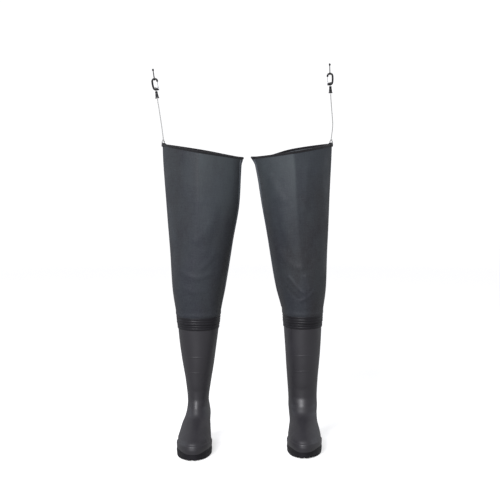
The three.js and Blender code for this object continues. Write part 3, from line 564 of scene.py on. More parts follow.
# For each sleeve: where the front crease runs, outwards from the middle, at the knee and at the
# rim; how far the rim flares at its inner corner; the long waves, by number round the leg and
# along, phase, and height in mm; and the fold lines on the front, from one end to the other in
# mm, by outwards, up, outwards, up, sag, width and height.
DRAPES = {
    "left": {
        "crease": (3 * MM, -4 * MM),
        "flare": 6 * MM,
        "waves": [(2, 1.1, 0.4, 1.3), (3, -1.7, 2.1, 0.9), (5, 0.9, 4.0, 0.5),
                  (7, 2.4, 1.0, 0.35)],
        "folds": [(-38, 502, 6, 454, 5, 5, 2.0), (10, 506, 20, 470, -3, 4.5, 1.8),
                  (30, 462, -8, 434, 4, 5, 1.9), (4, 446, 8, 412, 0, 4.5, 1.4),
                  (-44, 470, -14, 440, 3, 6, -1.4), (-54, 566, -6, 530, 8, 11, 1.4),
                  (44, 610, 22, 524, 3, 10, -1.4), (-66, 716, -48, 590, 4, 13, -1.9),
                  (34, 810, 22, 700, 3, 10, 1.6), (70, 800, 88, 690, 0, 13, 1.8),
                  (-70, 800, -40, 730, 4, 12, 1.4)],
    },
    "right": {
        "crease": (12 * MM, 3 * MM),
        "flare": 4 * MM,
        "waves": [(2, 0.9, 1.9, 1.2), (3, 1.3, 0.2, 0.8), (5, -1.0, 3.0, 0.45),
                  (7, 1.8, 5.0, 0.3)],
        "folds": [(44, 524, -40, 516, 15, 9, 1.2), (34, 476, -28, 468, 8, 8, 0.9),
                  (-48, 572, -18, 534, 3, 8, 1.2), (54, 604, 22, 560, 4, 10, -1.0),
                  (-60, 700, -40, 600, 6, 12, -1.6), (24, 440, 40, 412, 0, 6, 0.9),
                  (-26, 436, -40, 408, 0, 6, -0.9), (-30, 660, 4, 612, 5, 11, 1.0)],
    },
}


# ------------------------------------------------------------------- materials

class Finish:
    """A Principled material, and short ways to add the nodes that vary it."""

    def __init__(self, name, **constants):
        self.material = bpy.data.materials.new(name)
        self.material.use_nodes = True
        self.tree = self.material.node_tree
        self.shader = self.tree.nodes["Principled BSDF"]
        for socket, value in constants.items():
            self.shader.inputs[socket.replace("_", " ")].default_value = value

    def node(self, kind, inputs, **settings):
        node = self.tree.nodes.new(kind)
        for name, value in settings.items():
            setattr(node, name, value)
        for socket, value in inputs.items():
            if isinstance(value, bpy.types.NodeSocket):
                self.tree.links.new(value, node.inputs[socket])
            else:
                node.inputs[socket].default_value = value
        return node

    def where(self, source="Object", stretch=(1, 1, 1), turned=0.0):
        """Coordinates of the object or of its UV map, stretched and turned about Z."""
        coordinates = self.node("ShaderNodeTexCoord", {}).outputs[source]
        return self.node("ShaderNodeMapping", {
            "Vector": coordinates, "Scale": stretch, "Rotation": (0, 0, turned)}).outputs[0]

    def noise(self, where, scale, detail=4.0, roughness=0.55):
        return self.node("ShaderNodeTexNoise", {
            "Vector": where, "Scale": scale, "Detail": detail, "Roughness": roughness,
        }).outputs["Fac"]

    def wave(self, where, pitch, direction="X", distortion=0.0):
        """Sine bands a pitch apart, in metres; the node's own period is pi / 10."""
        return self.node("ShaderNodeTexWave", {
            "Vector": where, "Scale": math.pi / 10 / pitch, "Distortion": distortion,
        }, bands_direction=direction).outputs["Fac"]

    def ramp(self, value, low, high, dark, light):
        """The first colour or number up to low, the second from high."""
        colours = [(*c, 1.0) if hasattr(c, "__len__") else (c, c, c, 1.0) for c in (dark, light)]
        node = self.node("ShaderNodeValToRGB", {"Fac": value})
        for element, position, colour in zip(node.color_ramp.elements, (low, high), colours):
            element.position, element.color = position, colour
        return node.outputs["Color"]

    def math(self, operation, a, b, c=0.0):
        return self.node("ShaderNodeMath", {0: a, 1: b, 2: c}, operation=operation).outputs[0]

    def axis(self, where, k):
        """One of the three coordinates."""
        return self.node("ShaderNodeSeparateXYZ", {"Vector": where}).outputs[k]

    def between(self, value, start, end, low=0.0, high=1.0):
        """The value's range from start to end, stretched from low to high."""
        return self.node("ShaderNodeMapRange", {
            "Value": value, "From Min": start, "From Max": end, "To Min": low, "To Max": high,
        }).outputs[0]

    def rise(self, value, start, end):
        """Smoothstep of the value, from 0 at start to 1 at end."""
        return self.node("ShaderNodeMapRange", {"Value": value, "From Min": start,
                                                "From Max": end},
                         interpolation_type="SMOOTHSTEP").outputs[0]

    def mix(self, share, a, b):
        values = [(*v, 1.0) if hasattr(v, "__len__") else v for v in (a, b)]
        return self.node("ShaderNodeMix", {0: share, 6: values[0], 7: values[1]},
                         data_type="RGBA").outputs[2]

    def spread(self, value, low, high):
        """The value's middle range, 0.3 to 0.7, stretched from low to high."""
        return self.between(value, 0.3, 0.7, low, high)

    def link(self, socket, value):
        self.tree.links.new(value, self.shader.inputs[socket])

    def bump(self, layers):
        """Bumps laid on each other, each a height and how deep it is in metres."""
        normal = None
        for height, depth in layers:
            inputs = {"Height": height, "Distance": depth, "Strength": 1.0}
            if normal is not None:
                inputs["Normal"] = normal
            normal = self.node("ShaderNodeBump", inputs).outputs[0]
        self.link("Normal", normal)


def shade(colour, share):
    return tuple(channel * share for channel in colour)


def boot_finish(name, colour, gloss):
    """Satin moulded PVC: a fine pebbled grain, cloudy tone and dull scuffs low on the foot."""
    f = Finish(name, Specular_IOR_Level=gloss, Coat_Weight=0.04, Coat_Roughness=0.3)
    where = f.where()
    cloud = f.noise(where, 9.0, 3.0)
    tone = f.ramp(cloud, 0.3, 0.7, shade(colour, 0.85), shade(colour, 1.18))
    streak = f.noise(f.where(stretch=(1, 1, 0.22)), 160.0, 5.0, 0.7)
    low = f.between(f.axis(where, 2), 0.11, 0.03)
    scuff = f.math("MULTIPLY", f.ramp(streak, 0.6, 0.74, 0.0, 1.0), low)
    f.link("Base Color", f.mix(f.math("MULTIPLY", scuff, 0.45), tone, shade(colour, 2.6)))
    rough = f.spread(f.noise(where, 34.0), 0.46, 0.55)
    f.link("Roughness", f.math("ADD", rough, f.math("MULTIPLY", scuff, 0.2)))
    f.bump([(f.noise(where, 1500.0, 2.0), 0.05 * MM), (f.noise(where, 60.0), 0.18 * MM)])
    return f.material


def rubber_finish(name, colour):
    """Matt sole compound: coarse grain, with dust on the parts near the ground."""
    f = Finish(name, Specular_IOR_Level=0.35)
    where = f.where()
    low = f.between(f.axis(where, 2), 0.012, 0.0, 0.0, 0.7)
    dust = f.math("MULTIPLY", f.ramp(f.noise(where, 70.0, 6.0, 0.7), 0.5, 0.75, 0.0, 1.0), low)
    tone = f.ramp(f.noise(where, 18.0), 0.3, 0.7, shade(colour, 0.8), shade(colour, 1.3))
    f.link("Base Color", f.mix(dust, tone, shade(colour, 7.0)))
    f.link("Roughness", f.spread(f.noise(where, 90.0), 0.55, 0.75))
    f.bump([(f.noise(where, 900.0, 3.0), 0.12 * MM), (f.noise(where, 120.0), 0.15 * MM)])
    return f.material


PANEL_INNER, PANEL_OUTER = (0.140, 0.195), (0.263, 0.257)  # edges of the panel beside the front crease, where the painted highlight is strongest, round from the back
PAINTED_LIGHT_HEIGHTS = (0.58, 0.84)  # where the painted highlight on the coat starts, and where it is strongest


def coated_cloth_finish(name, dark, light, cool):
    """Coated cloth: slubby threads both ways show through a satin coat, whose tone drifts from
    brownish to bluish grey; a painted highlight lightens it towards the rim, most of all in
    the panel beside the front crease."""
    f = Finish(name, Specular_IOR_Level=0.3)
    where, cloth = f.where(), f.where("UV")
    round_leg = f.axis(cloth, 0)
    # Painted highlight: lighter towards the rim, most of all in the panel beside the front crease,
    # broken up by noise
    panel = f.math("MULTIPLY", f.rise(round_leg, *PANEL_INNER), f.rise(round_leg, *PANEL_OUTER))
    painted_light = f.math("MULTIPLY", f.rise(f.axis(where, 2), *PAINTED_LIGHT_HEIGHTS),
                   f.math("MULTIPLY_ADD", panel, 0.62, 0.28))
    drift = f.noise(f.where(stretch=(1, 1, 0.5)), 6.0, 3.0)
    tone = f.mix(f.ramp(drift, 0.40, 0.58, 0.0, 1.0), dark, cool)
    cloud = f.noise(f.where(stretch=(1.4, 1.4, 0.8)), 13.0, 5.0, 0.6)
    tone = f.mix(f.ramp(cloud, 0.36, 0.64, 0.0, 0.35), tone, shade(light, 0.8))
    patch = f.ramp(f.noise(f.where(stretch=(1.6, 1.6, 0.7)), 9.0, 5.0, 0.6), 0.34, 0.64, 0.4, 1.0)
    # Lays the painted highlight over the coat's tone
    tone = f.mix(f.math("MULTIPLY", painted_light, patch), tone, light)
    weft = f.noise(f.where("UV", stretch=(1, 12, 1)), 42.0, 5.0, 0.7)
    warp = f.noise(f.where("UV", stretch=(12, 1, 1)), 42.0, 5.0, 0.7)
    slub = f.math("ADD", weft, warp)
    tone = f.mix(f.ramp(f.math("MULTIPLY", slub, 0.5), 0.4, 0.6, 0.0, 0.3), tone,
                 shade(light, 1.1))
    fine = f.noise(where, 240.0, 4.0, 0.65)
    f.link("Base Color", f.mix(f.ramp(fine, 0.35, 0.7, 0.0, 0.2), tone, shade(light, 1.25)))
    f.link("Roughness", f.spread(f.noise(where, 22.0, 5.0), 0.42, 0.58))
    weave = f.math("ADD", f.wave(cloth, 1.1 * MM), f.wave(cloth, 1.3 * MM, "Y"))
    f.bump([(weave, 0.035 * MM), (slub, 0.12 * MM), (fine, 0.09 * MM),
            (f.noise(where, 34.0, 4.0), 0.9 * MM)])
    return f.material


def plain_cloth_finish(name, colour, pitch, depth):
    """Bare cloth: threads both ways over and under each other, with an uneven tone."""
    f = Finish(name, Specular_IOR_Level=0.25, Sheen_Weight=0.25, Sheen_Roughness=0.6)
    where, cloth = f.where(), f.where("UV")
    weave = f.math("MULTIPLY", f.wave(cloth, pitch), f.wave(cloth, 1.25 * pitch, "Y"))
    patchy = f.ramp(f.noise(where, 30.0), 0.3, 0.7, shade(colour, 0.8), shade(colour, 1.15))
    f.link("Base Color", f.mix(f.ramp(weave, 0.1, 0.7, 0.0, 0.5), patchy, shade(colour, 1.6)))
    f.link("Roughness", f.spread(f.noise(where, 50.0), 0.82, 0.96))
    f.bump([(weave, depth), (f.noise(where, 700.0), 0.1 * MM)])
    return f.material


def knit_finish(name, colour, pitch):
    """Knit or felt on a frame part: crossed bands in the object's own coordinates."""
    f = Finish(name, Specular_IOR_Level=0.2, Sheen_Weight=0.4, Sheen_Roughness=0.6)
    where = f.where()
    loops = f.math("MULTIPLY", f.wave(where, pitch, "Z"), f.wave(where, pitch, "DIAGONAL"))
    fuzz = f.noise(where, 420.0, 5.0, 0.7)
    f.link("Base Color", f.ramp(f.math("ADD", loops, f.math("MULTIPLY", fuzz, 0.6)), 0.2, 0.9,
                                shade(colour, 0.7), shade(colour, 1.35)))
    f.link("Roughness", f.spread(fuzz, 0.86, 0.98))
    f.bump([(loops, 0.25 * MM), (fuzz, 0.2 * MM)])
    return f.material


def tape_finish(name, colour):
    """Woven tape: fine ribs across it, and a duller worn edge here and there."""
    f = Finish(name, Specular_IOR_Level=0.3, Sheen_Weight=0.2, Sheen_Roughness=0.5)
    where, tape = f.where(), f.where("UV")
    ribs = f.wave(tape, 1.4 * MM)
    cross = f.wave(tape, 0.7 * MM, "Y")
    wear = f.ramp(f.noise(where, 90.0, 5.0, 0.7), 0.55, 0.75, 0.0, 0.4)
    tone = f.ramp(ribs, 0.2, 0.8, shade(colour, 0.7), shade(colour, 1.4))
    f.link("Base Color", f.mix(wear, tone, shade(colour, 3.5)))
    f.link("Roughness", f.spread(f.noise(where, 200.0), 0.62, 0.8))
    f.bump([(f.math("ADD", ribs, f.math("MULTIPLY", cross, 0.5)), 0.16 * MM)])
    return f.material


def braid_finish(name, colour, pitch, contrast):
    """Braided cord: two sets of slanted strands that cross, dark between them."""
    f = Finish(name, Specular_IOR_Level=0.3, Sheen_Weight=0.2, Sheen_Roughness=0.5)
    slant = math.radians(38)
    strands = f.math("MAXIMUM", f.wave(f.where("UV", turned=slant), pitch),
                     f.wave(f.where("UV", turned=-slant), pitch))
    fibre = f.noise(f.where(), 900.0, 4.0, 0.7)
    tone = f.ramp(strands, 0.45, 0.95, shade(colour, contrast), colour)
    f.link("Base Color", f.mix(f.ramp(fibre, 0.4, 0.75, 0.0, 0.3), tone, shade(colour, 0.75)))
    f.link("Roughness", f.spread(fibre, 0.7, 0.88))
    f.bump([(strands, 0.22 * MM), (fibre, 0.05 * MM)])
    return f.material


def coating_finish(name, colour):
    """Black coated metal: slight orange peel, with small chips down to grey."""
    f = Finish(name, Specular_IOR_Level=0.35, Coat_Weight=0.1, Coat_Roughness=0.3)
    where = f.where()
    chips = f.ramp(f.noise(where, 420.0, 6.0, 0.75), 0.66, 0.72, 0.0, 0.8)
    tone = f.ramp(f.noise(where, 60.0), 0.3, 0.7, shade(colour, 0.8), shade(colour, 1.3))
    f.link("Base Color", f.mix(chips, tone, (0.16, 0.16, 0.17)))
    f.link("Roughness", f.spread(f.noise(where, 150.0), 0.3, 0.44))
    f.bump([(f.noise(where, 800.0, 2.0), 0.05 * MM)])
    return f.material


def steel_finish(name, colour):
    """Brushed steel: fine lines along Z, and a faint cloud of handling marks."""
    f = Finish(name, Metallic=1.0)
    brushed = f.noise(f.where(stretch=(1, 1, 0.05)), 2600.0, 3.0, 0.6)
    cloud = f.noise(f.where(), 120.0)
    f.link("Base Color", f.ramp(cloud, 0.3, 0.75, shade(colour, 0.82), colour))
    f.link("Roughness", f.spread(brushed, 0.2, 0.38))
    f.bump([(brushed, 0.02 * MM)])
    return f.material


def finish(slot):
    """The material of a slot of the record, made the first time that it is asked for."""
    name = f"wader_{slot}"
    known = bpy.data.materials.get(name)
    if known:
        return known
    c = bpy.context.scene.wader_finish
    makers = {
        "boot": (boot_finish, c.boot, 0.85),
        "outsole": (rubber_finish, c.outsole),
        "collar_band": (boot_finish, c.band, 0.3),
        "sleeve": (coated_cloth_finish, c.sleeve, c.sleeve_pale_and_lit, c.sleeve_cool),
        "sleeve_inside": (plain_cloth_finish, c.sleeve_inside, 0.9 * MM, 0.1 * MM),
        # The seam tape's own lighter colour, with the same painted highlight towards the rim
        "seam": (coated_cloth_finish, shade(c.sleeve, 2.2), shade(c.sleeve_pale_and_lit, 2.6),
                 shade(c.sleeve_cool, 2)),
        "binding": (tape_finish, c.tape),
        "thread": (braid_finish, c.thread, 0.9 * MM, 0.5),
        "patch": (tape_finish, shade(c.tape, 0.9)),
        "lining": (knit_finish, c.lining, 2.2 * MM),
        "insole": (knit_finish, c.insole, 3.5 * MM),
        "elastic_cord": (braid_finish, c.cord, 1.2 * MM, 0.45),
        "loop_cord": (braid_finish, c.loop, 1.0 * MM, 0.4),
        "ring": (coating_finish, c.coating),
        "ferrule": (coating_finish, c.coating),
        "hook": (coating_finish, c.coating),
        "swivel_steel": (steel_finish, c.steel),
        "gate_steel": (steel_finish, shade(c.steel, 1.2)),
        "pin_steel": (steel_finish, c.steel),
        "spring_steel": (steel_finish, shade(c.steel, 0.85)),
    }
    maker, *looks = makers[slot]
    return maker(name, *looks)


# ---------------------------------------------------------------- boot pieces

def spans(*stretches):
    """Sorted heights or turns, evenly spaced over each stretch of start, end and count."""
    return np.unique(np.round(np.concatenate([np.linspace(*s) for s in stretches]), 7))


RELIEF = 0.5 * MM  # height of the boot's finer relief
TOE_CAP_EDGE = (0.150, 0.158)  # how far forwards the toe cap starts
SHIN_ARCS = ((0.271, 0.034), (0.225, 0.030))  # the height and half width of each
ANKLE_CREASES = ((0.118, 1.2 * MM), (0.142, 0.8 * MM), (0.170, 0.5 * MM))  # height and depth


def dark_line(w, turn):
    """Height that the sole's dark compound reaches up the foot: low round the toe, higher at
    the ball."""
    s = w.size
    along = -np.cos(turn)
    side = smooth(along, -1.0, -0.72) * (1 - 0.35 * smooth(along, -0.3, 0.3))
    return s.sole_thick + lerp(0.08, 0.34, side) * s.rand_height


def boot_relief(w, turn, z):
    """What stands out of the boot's moulded surface: the rand over the sole; the edge of the
    toe cap; two short arcs on the shin; soft creases at the ankle; and a slight unevenness."""
    front = smooth(np.cos(turn), 0.2, 0.8)
    bare = w.boot_point(turn, z)
    x, y = bare[..., 0], bare[..., 1]
    top = w.size.sole_thick + w.size.rand_height + 4 * MM * smooth(-y, 0.120, 0.160)
    out = 2.9 * MM * smooth(top - z, 0.0, 3.0 * MM)
    out = out + RELIEF * smooth(-y, *TOE_CAP_EDGE) * (1 - smooth(z, 0.070, 0.095))
    for height, half in SHIN_ARCS:
        arc = height - 4 * MM * (x / half) ** 2
        out = out + (RELIEF * hump(z, arc, 1.2 * MM) * front
                     * (1 - smooth(np.abs(x), 0.7 * half, half)))
    for height, depth in ANKLE_CREASES:
        out = out - depth * front * hump(z, height + 9 * MM * np.sin(turn) ** 2, 7 * MM)
    back = smooth(-np.cos(turn), 0.3, 0.9)
    out = out - 1.0 * MM * back * hump(z, 0.128, 7 * MM)
    return out + RELIEF * np.sin(3 * turn + z / 0.03) * smooth(z, 0.10, 0.16)


def boot_shell(w):
    """The boot's outside from the sole to the collar, and its inside back down to the floor.
    Its rows share out the height up to the dark line, and then the height over it, and are
    closer at the shin's arcs."""
    s = w.size
    turn = round_turn(160)[None]
    base, instep = s.sole_thick + CLEAR, 0.125
    line = dark_line(w, turn)
    under = lerp(base, line, np.linspace(0, 1, 14)[:, None])
    foot = lerp(line, instep, np.linspace(0, 1, 78)[:, None])
    shaft = spans((instep, 0.220, 36), (0.220, 0.230, 16), (0.230, 0.266, 14),
                  (0.264, 0.276, 18), (0.276, s.collar_height, 34))[1:, None] + 0 * turn
    low, high = (w.boot_point(turn, z, out=boot_relief(w, turn, z))
                 for z in (under, np.concatenate([foot, shaft])))
    down = np.linspace(s.collar_height, base + 3 * MM, 50)[:, None]
    high = np.concatenate([high, w.boot_point(turn, down, inset=s.boot_wall)])
    return piece(f"{w.side}_moulded_boot", [
        tube_grid(w.place(np.concatenate([high, pole(high[-1])]))),
        tube_grid(w.place(np.concatenate([pole(low[0]), low])), surface=1)],
        ["boot", "outsole"])


def outsole(w):
    """The sole as cross-sections from toe to heel: a flat top, sides with a shallow rib, and a
    bottom whose height is cut by chevron grooves, a middle groove and the arch. Towards the
    tip it rises off the ground."""
    s = w.size
    phi = np.linspace(0, math.pi, 420)[1:-1][:, None]
    level = np.array([[s.sole_thick]])
    outer, inner = (w.boot_point(sign * phi, level, out=s.sole_flange) for sign in (1, -1))
    y = outer[..., 1]
    right, left = outer[..., 0], inner[..., 0]
    middle, half = (right + left) / 2, (right - left) / 2
    drop = np.linspace(0, 1, 9)[None, 1:-1]
    floor = np.linspace(1, -1, 54)[None]

    def tread(x, edge):
        toe = s.heel_back - s.foot_length
        run = (y + 0.5 * np.abs(x - middle)) / s.tread_pitch
        beside = np.abs(np.mod(run, 1.0) - 0.5) * s.tread_pitch
        groove = 1 - smooth(beside, 0.4 * s.tread_groove, 0.6 * s.tread_groove)
        centre = 0.6 * (1 - smooth(np.abs(x - middle), 1.2 * MM, 2.2 * MM))
        height = s.tread_depth * np.maximum(groove, centre * smooth(half, 10 * MM, 20 * MM))
        arch = smooth(y, -12 * MM, -8 * MM) * (1 - smooth(y, 26 * MM, 30 * MM))
        height = lerp(height, s.tread_depth + 3 * MM, arch)
        height = np.maximum(height, 1.6 * MM * smooth(np.abs(edge), 0.94, 1.0))
        return height + s.toe_spring * smooth(-y, -toe - 70 * MM, -toe + 4 * MM) ** 2

    x_floor = middle + floor * (half - 0.8 * MM)
    bottom = tread(x_floor, floor)
    rib = 0.5 * MM * hump(drop, 0.3, 0.12) - 0.8 * MM * drop ** 2
    columns = [(middle + np.linspace(-1, 1, 9)[None] * half, s.sole_thick + 0 * y)]
    columns.append((right + rib, lerp(s.sole_thick, bottom[:, :1], drop)))
    columns.append((x_floor, bottom))
    columns.append(((left - rib)[:, ::-1], lerp(s.sole_thick, bottom[:, -1:], drop)[:, ::-1]))
    xs = np.concatenate([np.broadcast_to(x, (len(y), x.shape[1])) for x, _ in columns], 1)
    zs = np.concatenate([np.broadcast_to(z, (len(y), x.shape[1])) for x, z in columns], 1)
    rows = np.stack([xs, np.broadcast_to(y, xs.shape), zs], -1)
    return piece(f"{w.side}_lugged_outsole", [tube_grid(w.place(capped(rows)))], ["outsole"],
                 sharp=math.radians(35))


def heel_wall(w, name, slot, base, top, reach, reach_forwards):
    """A bar with rounded edges carried round the heel on the boot's surface: its section is a
    superellipse, which tapers away over the last tenth at each end."""
    s = w.size
    heel, toe = (w.boot_point(np.array(turn), np.array(base))[1] for turn in (math.pi, 0.0))
    middle = (heel + toe) / 2
    depth = heel - middle
    spread = math.acos(np.clip((s.heel_back - reach_forwards - middle) / depth, -1, 1))
    share = np.linspace(-1, 1, 97)[:, None]
    section = rounded(0.5, 0.5, 0.45, 32)
    out = (section[None, :, 0] + 0.5) * (reach + 0.8 * MM) * (1 - 0.9 * share ** 20) - 0.8 * MM
    z = (base + top) / 2 + section[None, :, 1] * (top - base)
    rows = w.boot_point(math.pi + spread * share, z, out=out)
    return piece(f"{w.side}_{name}", [tube_grid(w.place(capped(rows)))], [slot])


def collar_band(w):
    """The ribbed band: n ribs of height |sin n pi share|^(1/2) up its outside, carried round
    the boot."""
    s = w.size
    top = s.collar_height - s.sleeve_lap - CLEAR
    up = np.linspace(0, 1, 61)
    ribs = np.sqrt(np.abs(np.sin(math.pi * s.rib_count * up)))
    out = np.concatenate([0.9 * MM + s.rib_height * ribs, [0.1 * MM, 0.1 * MM]])
    z = np.concatenate([top + (up - 1) * s.band_height, [top, top - s.band_height]])
    rows = w.boot_point(round_turn(160)[None], z[:, None], out=out[:, None])
    return piece(f"{w.side}_ribbed_collar", [grid(w.place(rows), True, True)], ["collar_band"])


# -------------------------------------------------------------- sleeve pieces

def sleeve(w):
    """The sleeve as one tube of coated cloth: its outside up to the rim and its cloth inside
    back down, a wall's thickness apart. Where it laps the collar, ribs of height
    |sin 3 pi share|^(1/2) up the lap are moulded over it, the same as the collar band's."""
    s = w.size
    turn = round_turn(176, math.pi)[None]
    low, weld, around = s.collar_height - s.sleeve_lap, s.collar_height + 1 * MM, 0.52
    lap = np.linspace(low, weld, 50)[:, None]
    z = spans((weld, s.collar_height + 30 * MM, 26), (s.collar_height + 30 * MM, 0.56, 76),
              (0.56, s.rim_height - 20 * MM, 80), (s.rim_height - 20 * MM, s.rim_height, 12))
    z = z[:, None]
    ribs = np.sqrt(np.abs(np.sin(3 * math.pi * (lap - low) / (weld - low))))
    moulded = w.sleeve_point(turn, lap, out=s.rib_height * ribs)
    outside = w.sleeve_point(turn, z)
    inside = w.sleeve_point(turn, np.concatenate([lap, z[1:]])[::-2], out=-s.sleeve_wall)
    edge = np.concatenate([inside[-1:], moulded[:1]])
    rim = np.concatenate([outside[-1:], inside[:1]])
    uv = (around, s.rim_height - low)
    return piece(f"{w.side}_leg_sleeve", [
        tube_grid(w.place(outside), uv),
        tube_grid(w.place(rim), (around, 2 * MM)),
        tube_grid(w.place(inside), uv, surface=1),
        tube_grid(w.place(moulded), (around, s.sleeve_lap), surface=2),
        tube_grid(w.place(edge), (around, 2 * MM), surface=2),
    ], ["sleeve", "sleeve_inside", "collar_band"])


def turns_from(w, z, start, distances):
    """At each height, the turns at which the sleeve's surface has run the given distances
    round from start: short chords added up and read back by linear interpolation."""
    turn = start + np.linspace(0, 0.9, 160)[None]
    run = np.linalg.norm(np.diff(w.sleeve_point(turn, z), axis=1), axis=-1)
    run = np.concatenate([np.zeros((len(z), 1)), np.cumsum(run, axis=1)], 1)
    return np.array([np.interp(distances, row, turn[0]) for row in run])


def seam_tape(w):
    """The tape over the welded inner seam, laid on the sleeve from just round its corner: a
    flat strip with rounded edges, from over the cuff up to the binding."""
    s = w.size
    z = np.linspace(w.knee_low + 1 * MM, s.rim_height - s.binding_height - 3 * MM, 130)[:, None]
    across = np.linspace(0, 1, 13)
    turn = turns_from(w, z, -math.pi / 2, 3 * MM + across * s.seam_width)
    edge = smooth(np.minimum(across, 1 - across), 0.0, 0.12)
    front = w.sleeve_point(turn, z, out=(0.3 + 0.7 * edge)[None] * MM)
    back = w.sleeve_point(turn[:, ::-1], z, out=0.1 * MM)
    rows = np.concatenate([front, back], 1)
    return piece(f"{w.side}_seam_tape", [
        tube_grid(w.place(capped(rows)), (2 * s.seam_width, 0.45))], ["seam"])


def channel(w, gap, roof, wall, height):
    """The section of a strip folded over the rim, as (out, down): up the outside, over the
    rim in a half circle, and down the inside, then back along its inner face."""
    s = w.size
    reach = gap + s.sleeve_wall / 2
    steps = 9
    q = np.linspace(0, math.pi, 15)
    down = np.linspace(height, 0, steps)
    faces = []
    for r, top in ((reach + wall, roof + wall), (reach, roof)):
        arc_out, arc_down = r * np.cos(q), -top * np.sin(q)
        outs = np.concatenate([np.full(steps - 1, r), arc_out, np.full(steps - 1, -r)])
        downs = np.concatenate([down[:-1], arc_down, down[::-1][1:]])
        faces.append(np.stack([outs - s.sleeve_wall / 2, downs], -1))
    return np.vstack([faces[0], faces[1][::-1]])


def rim_binding(w):
    """The tape folded over the rim, all the way round."""
    s = w.size
    section = channel(w, CLEAR, CLEAR + s.sleeve_wall / 2, s.binding_wall, s.binding_height)
    turn = round_turn(260)[:, None]
    rows = w.rim_point(turn, section[None, :, 1], section[None, :, 0])
    return piece(f"{w.side}_folded_binding", [grid(w.place(rows), True, True, uv=(0.024, 0.6))],
                 ["binding"])


def stitches(w, turn, down, out):
    """A row of stitches: small ellipsoids, half sunk, along the points of a path that lies
    this far down from the rim and out of the sleeve."""
    path = w.place(w.rim_point(turn, down, out))
    centre = (path[1:] + path[:-1]) / 2
    step = path[1:] - path[:-1]
    half = 0.36 * np.linalg.norm(step, axis=-1, keepdims=True)
    tangent = unit(step)
    upward = unit(np.array([0.0, 0.0, 1.0]) - tangent * tangent[:, 2:])
    outward = np.cross(tangent, upward)
    lat, lon = np.linspace(0, math.pi, 6)[:, None], round_turn(6)[None]
    thick = 0.33 * MM
    along, up, away = (part[None, ..., None] for part in (
        np.cos(lat) + 0 * lon, np.sin(lat) * np.cos(lon), np.sin(lat) * np.sin(lon)))
    points = (centre[:, None, None] + along * (half * tangent)[:, None, None]
              + up * thick * upward[:, None, None] + away * thick * outward[:, None, None])
    return tube_grid(points, (2 * MM, 3 * MM))


def rim_stitching(w):
    """A row of stitches round the outside of the binding and one round its inside."""
    s = w.size
    turn = np.linspace(0, 2 * math.pi, 151)
    down = s.binding_height - 2 * MM
    face = CLEAR + s.binding_wall + 0.1 * MM
    return piece(f"{w.side}_rim_stitching", [
        stitches(w, turn, down, face),
        stitches(w, turn, down, -s.sleeve_wall - face)], ["thread"])


def corner_patch(w):
    """The patch folded over the binding at the outer corner, rounded off at both ends, with a
    row of stitches along its lower edge."""
    s = w.size
    gap = 3 * CLEAR + s.binding_wall
    roof = gap + 2 * w.hardware.ring_wire + CLEAR
    section = channel(w, gap, roof, s.patch_wall, s.patch_height)
    half = 2 * math.pi / AROUND
    share = np.sin(np.linspace(-math.pi / 2, math.pi / 2, 25))[:, None]
    shrink = 1 - 0.22 * share ** 12
    rows = w.rim_point(math.pi / 2 + half * share, section[None, :, 1] * shrink,
                       section[None, :, 0])
    turn = math.pi / 2 + half * np.linspace(-0.85, 0.85, 17)
    return piece(f"{w.side}_corner_patch_cloth", [
        tube_grid(w.place(capped(rows)), (0.035, 0.03)),
        stitches(w, turn, s.patch_height - 2 * MM, gap + s.patch_wall)], ["patch"])


# ----------------------------------------------------------- suspender pieces

def ring_place(w):
    """The middle of the wire ring's bar: over the binding at the rim's outer corner."""
    s, h = w.size, w.hardware
    turn, rim = np.array(math.pi / 2), np.array(s.rim_height)
    corner = w.sleeve_point(turn, rim, draped=False)
    return corner + np.array([2 * MM - h.ring_width / 2, 0,
                              3 * CLEAR + s.binding_wall + h.ring_wire])


def knot_place(w):
    """The middle of the cord's knot, over the ring."""
    h = w.hardware
    return ring_place(w) + np.array([0, 0, h.ring_height + h.knot_radius - 1.8 * MM])


def strap_ring(w):
    """The wire ring: a flat bar side and a round bow, as a closed tube."""
    h = w.hardware
    a, b = h.ring_width / 2, h.ring_height
    outline = [(-a + 1.5 * MM, 0), (0, 0), (a - 1.5 * MM, 0), (a, 1.6 * MM), (a, 0.45 * b),
               (0.72 * a, 0.84 * b), (0, b), (-0.72 * a, 0.84 * b), (-a, 0.45 * b),
               (-a, 1.6 * MM)]
    path = ring_place(w) + smooth_path([(x, 0, z) for x, z in outline], 72, loop=True)
    tube = wire_tube(path, h.ring_wire, (0, 1, 0), 12, loop=True)
    return piece(f"{w.side}_wire_ring", [grid(w.place(tube), True, True)], ["ring"])


# The suspender's cord from the knot's top to the ferrule, in the wader's own frame:
# outwards, forwards and up, in mm.
CORD_ROUTES = {
    "left": [
        (0, 0, 0), (0.9, 0, 9), (1.9, -0.2, 18), (3.0, -0.5, 27), (3.7, -0.8, 36),
        (3.8, -1.0, 45), (3.3, -1.0, 54), (2.6, -0.9, 63), (1.8, -0.7, 72), (1.0, -0.5, 82),
        (0.2, -0.3, 92), (-0.6, -0.2, 102), (-1.4, -0.1, 112), (-2.1, 0, 121), (-2.8, 0, 131)],
    "right": [
        (0, 0, 0), (0.8, 0, 8), (1.7, 0, 16), (2.7, 0, 24), (3.8, 0.1, 32), (4.9, 0.2, 40),
        (6.1, 0.3, 48), (7.3, 0.3, 56), (8.5, 0.3, 64), (9.8, 0.2, 73), (11.1, 0.1, 82),
        (12.5, 0, 91), (13.8, 0, 99), (15.1, 0, 107), (16.6, 0, 116)],
}


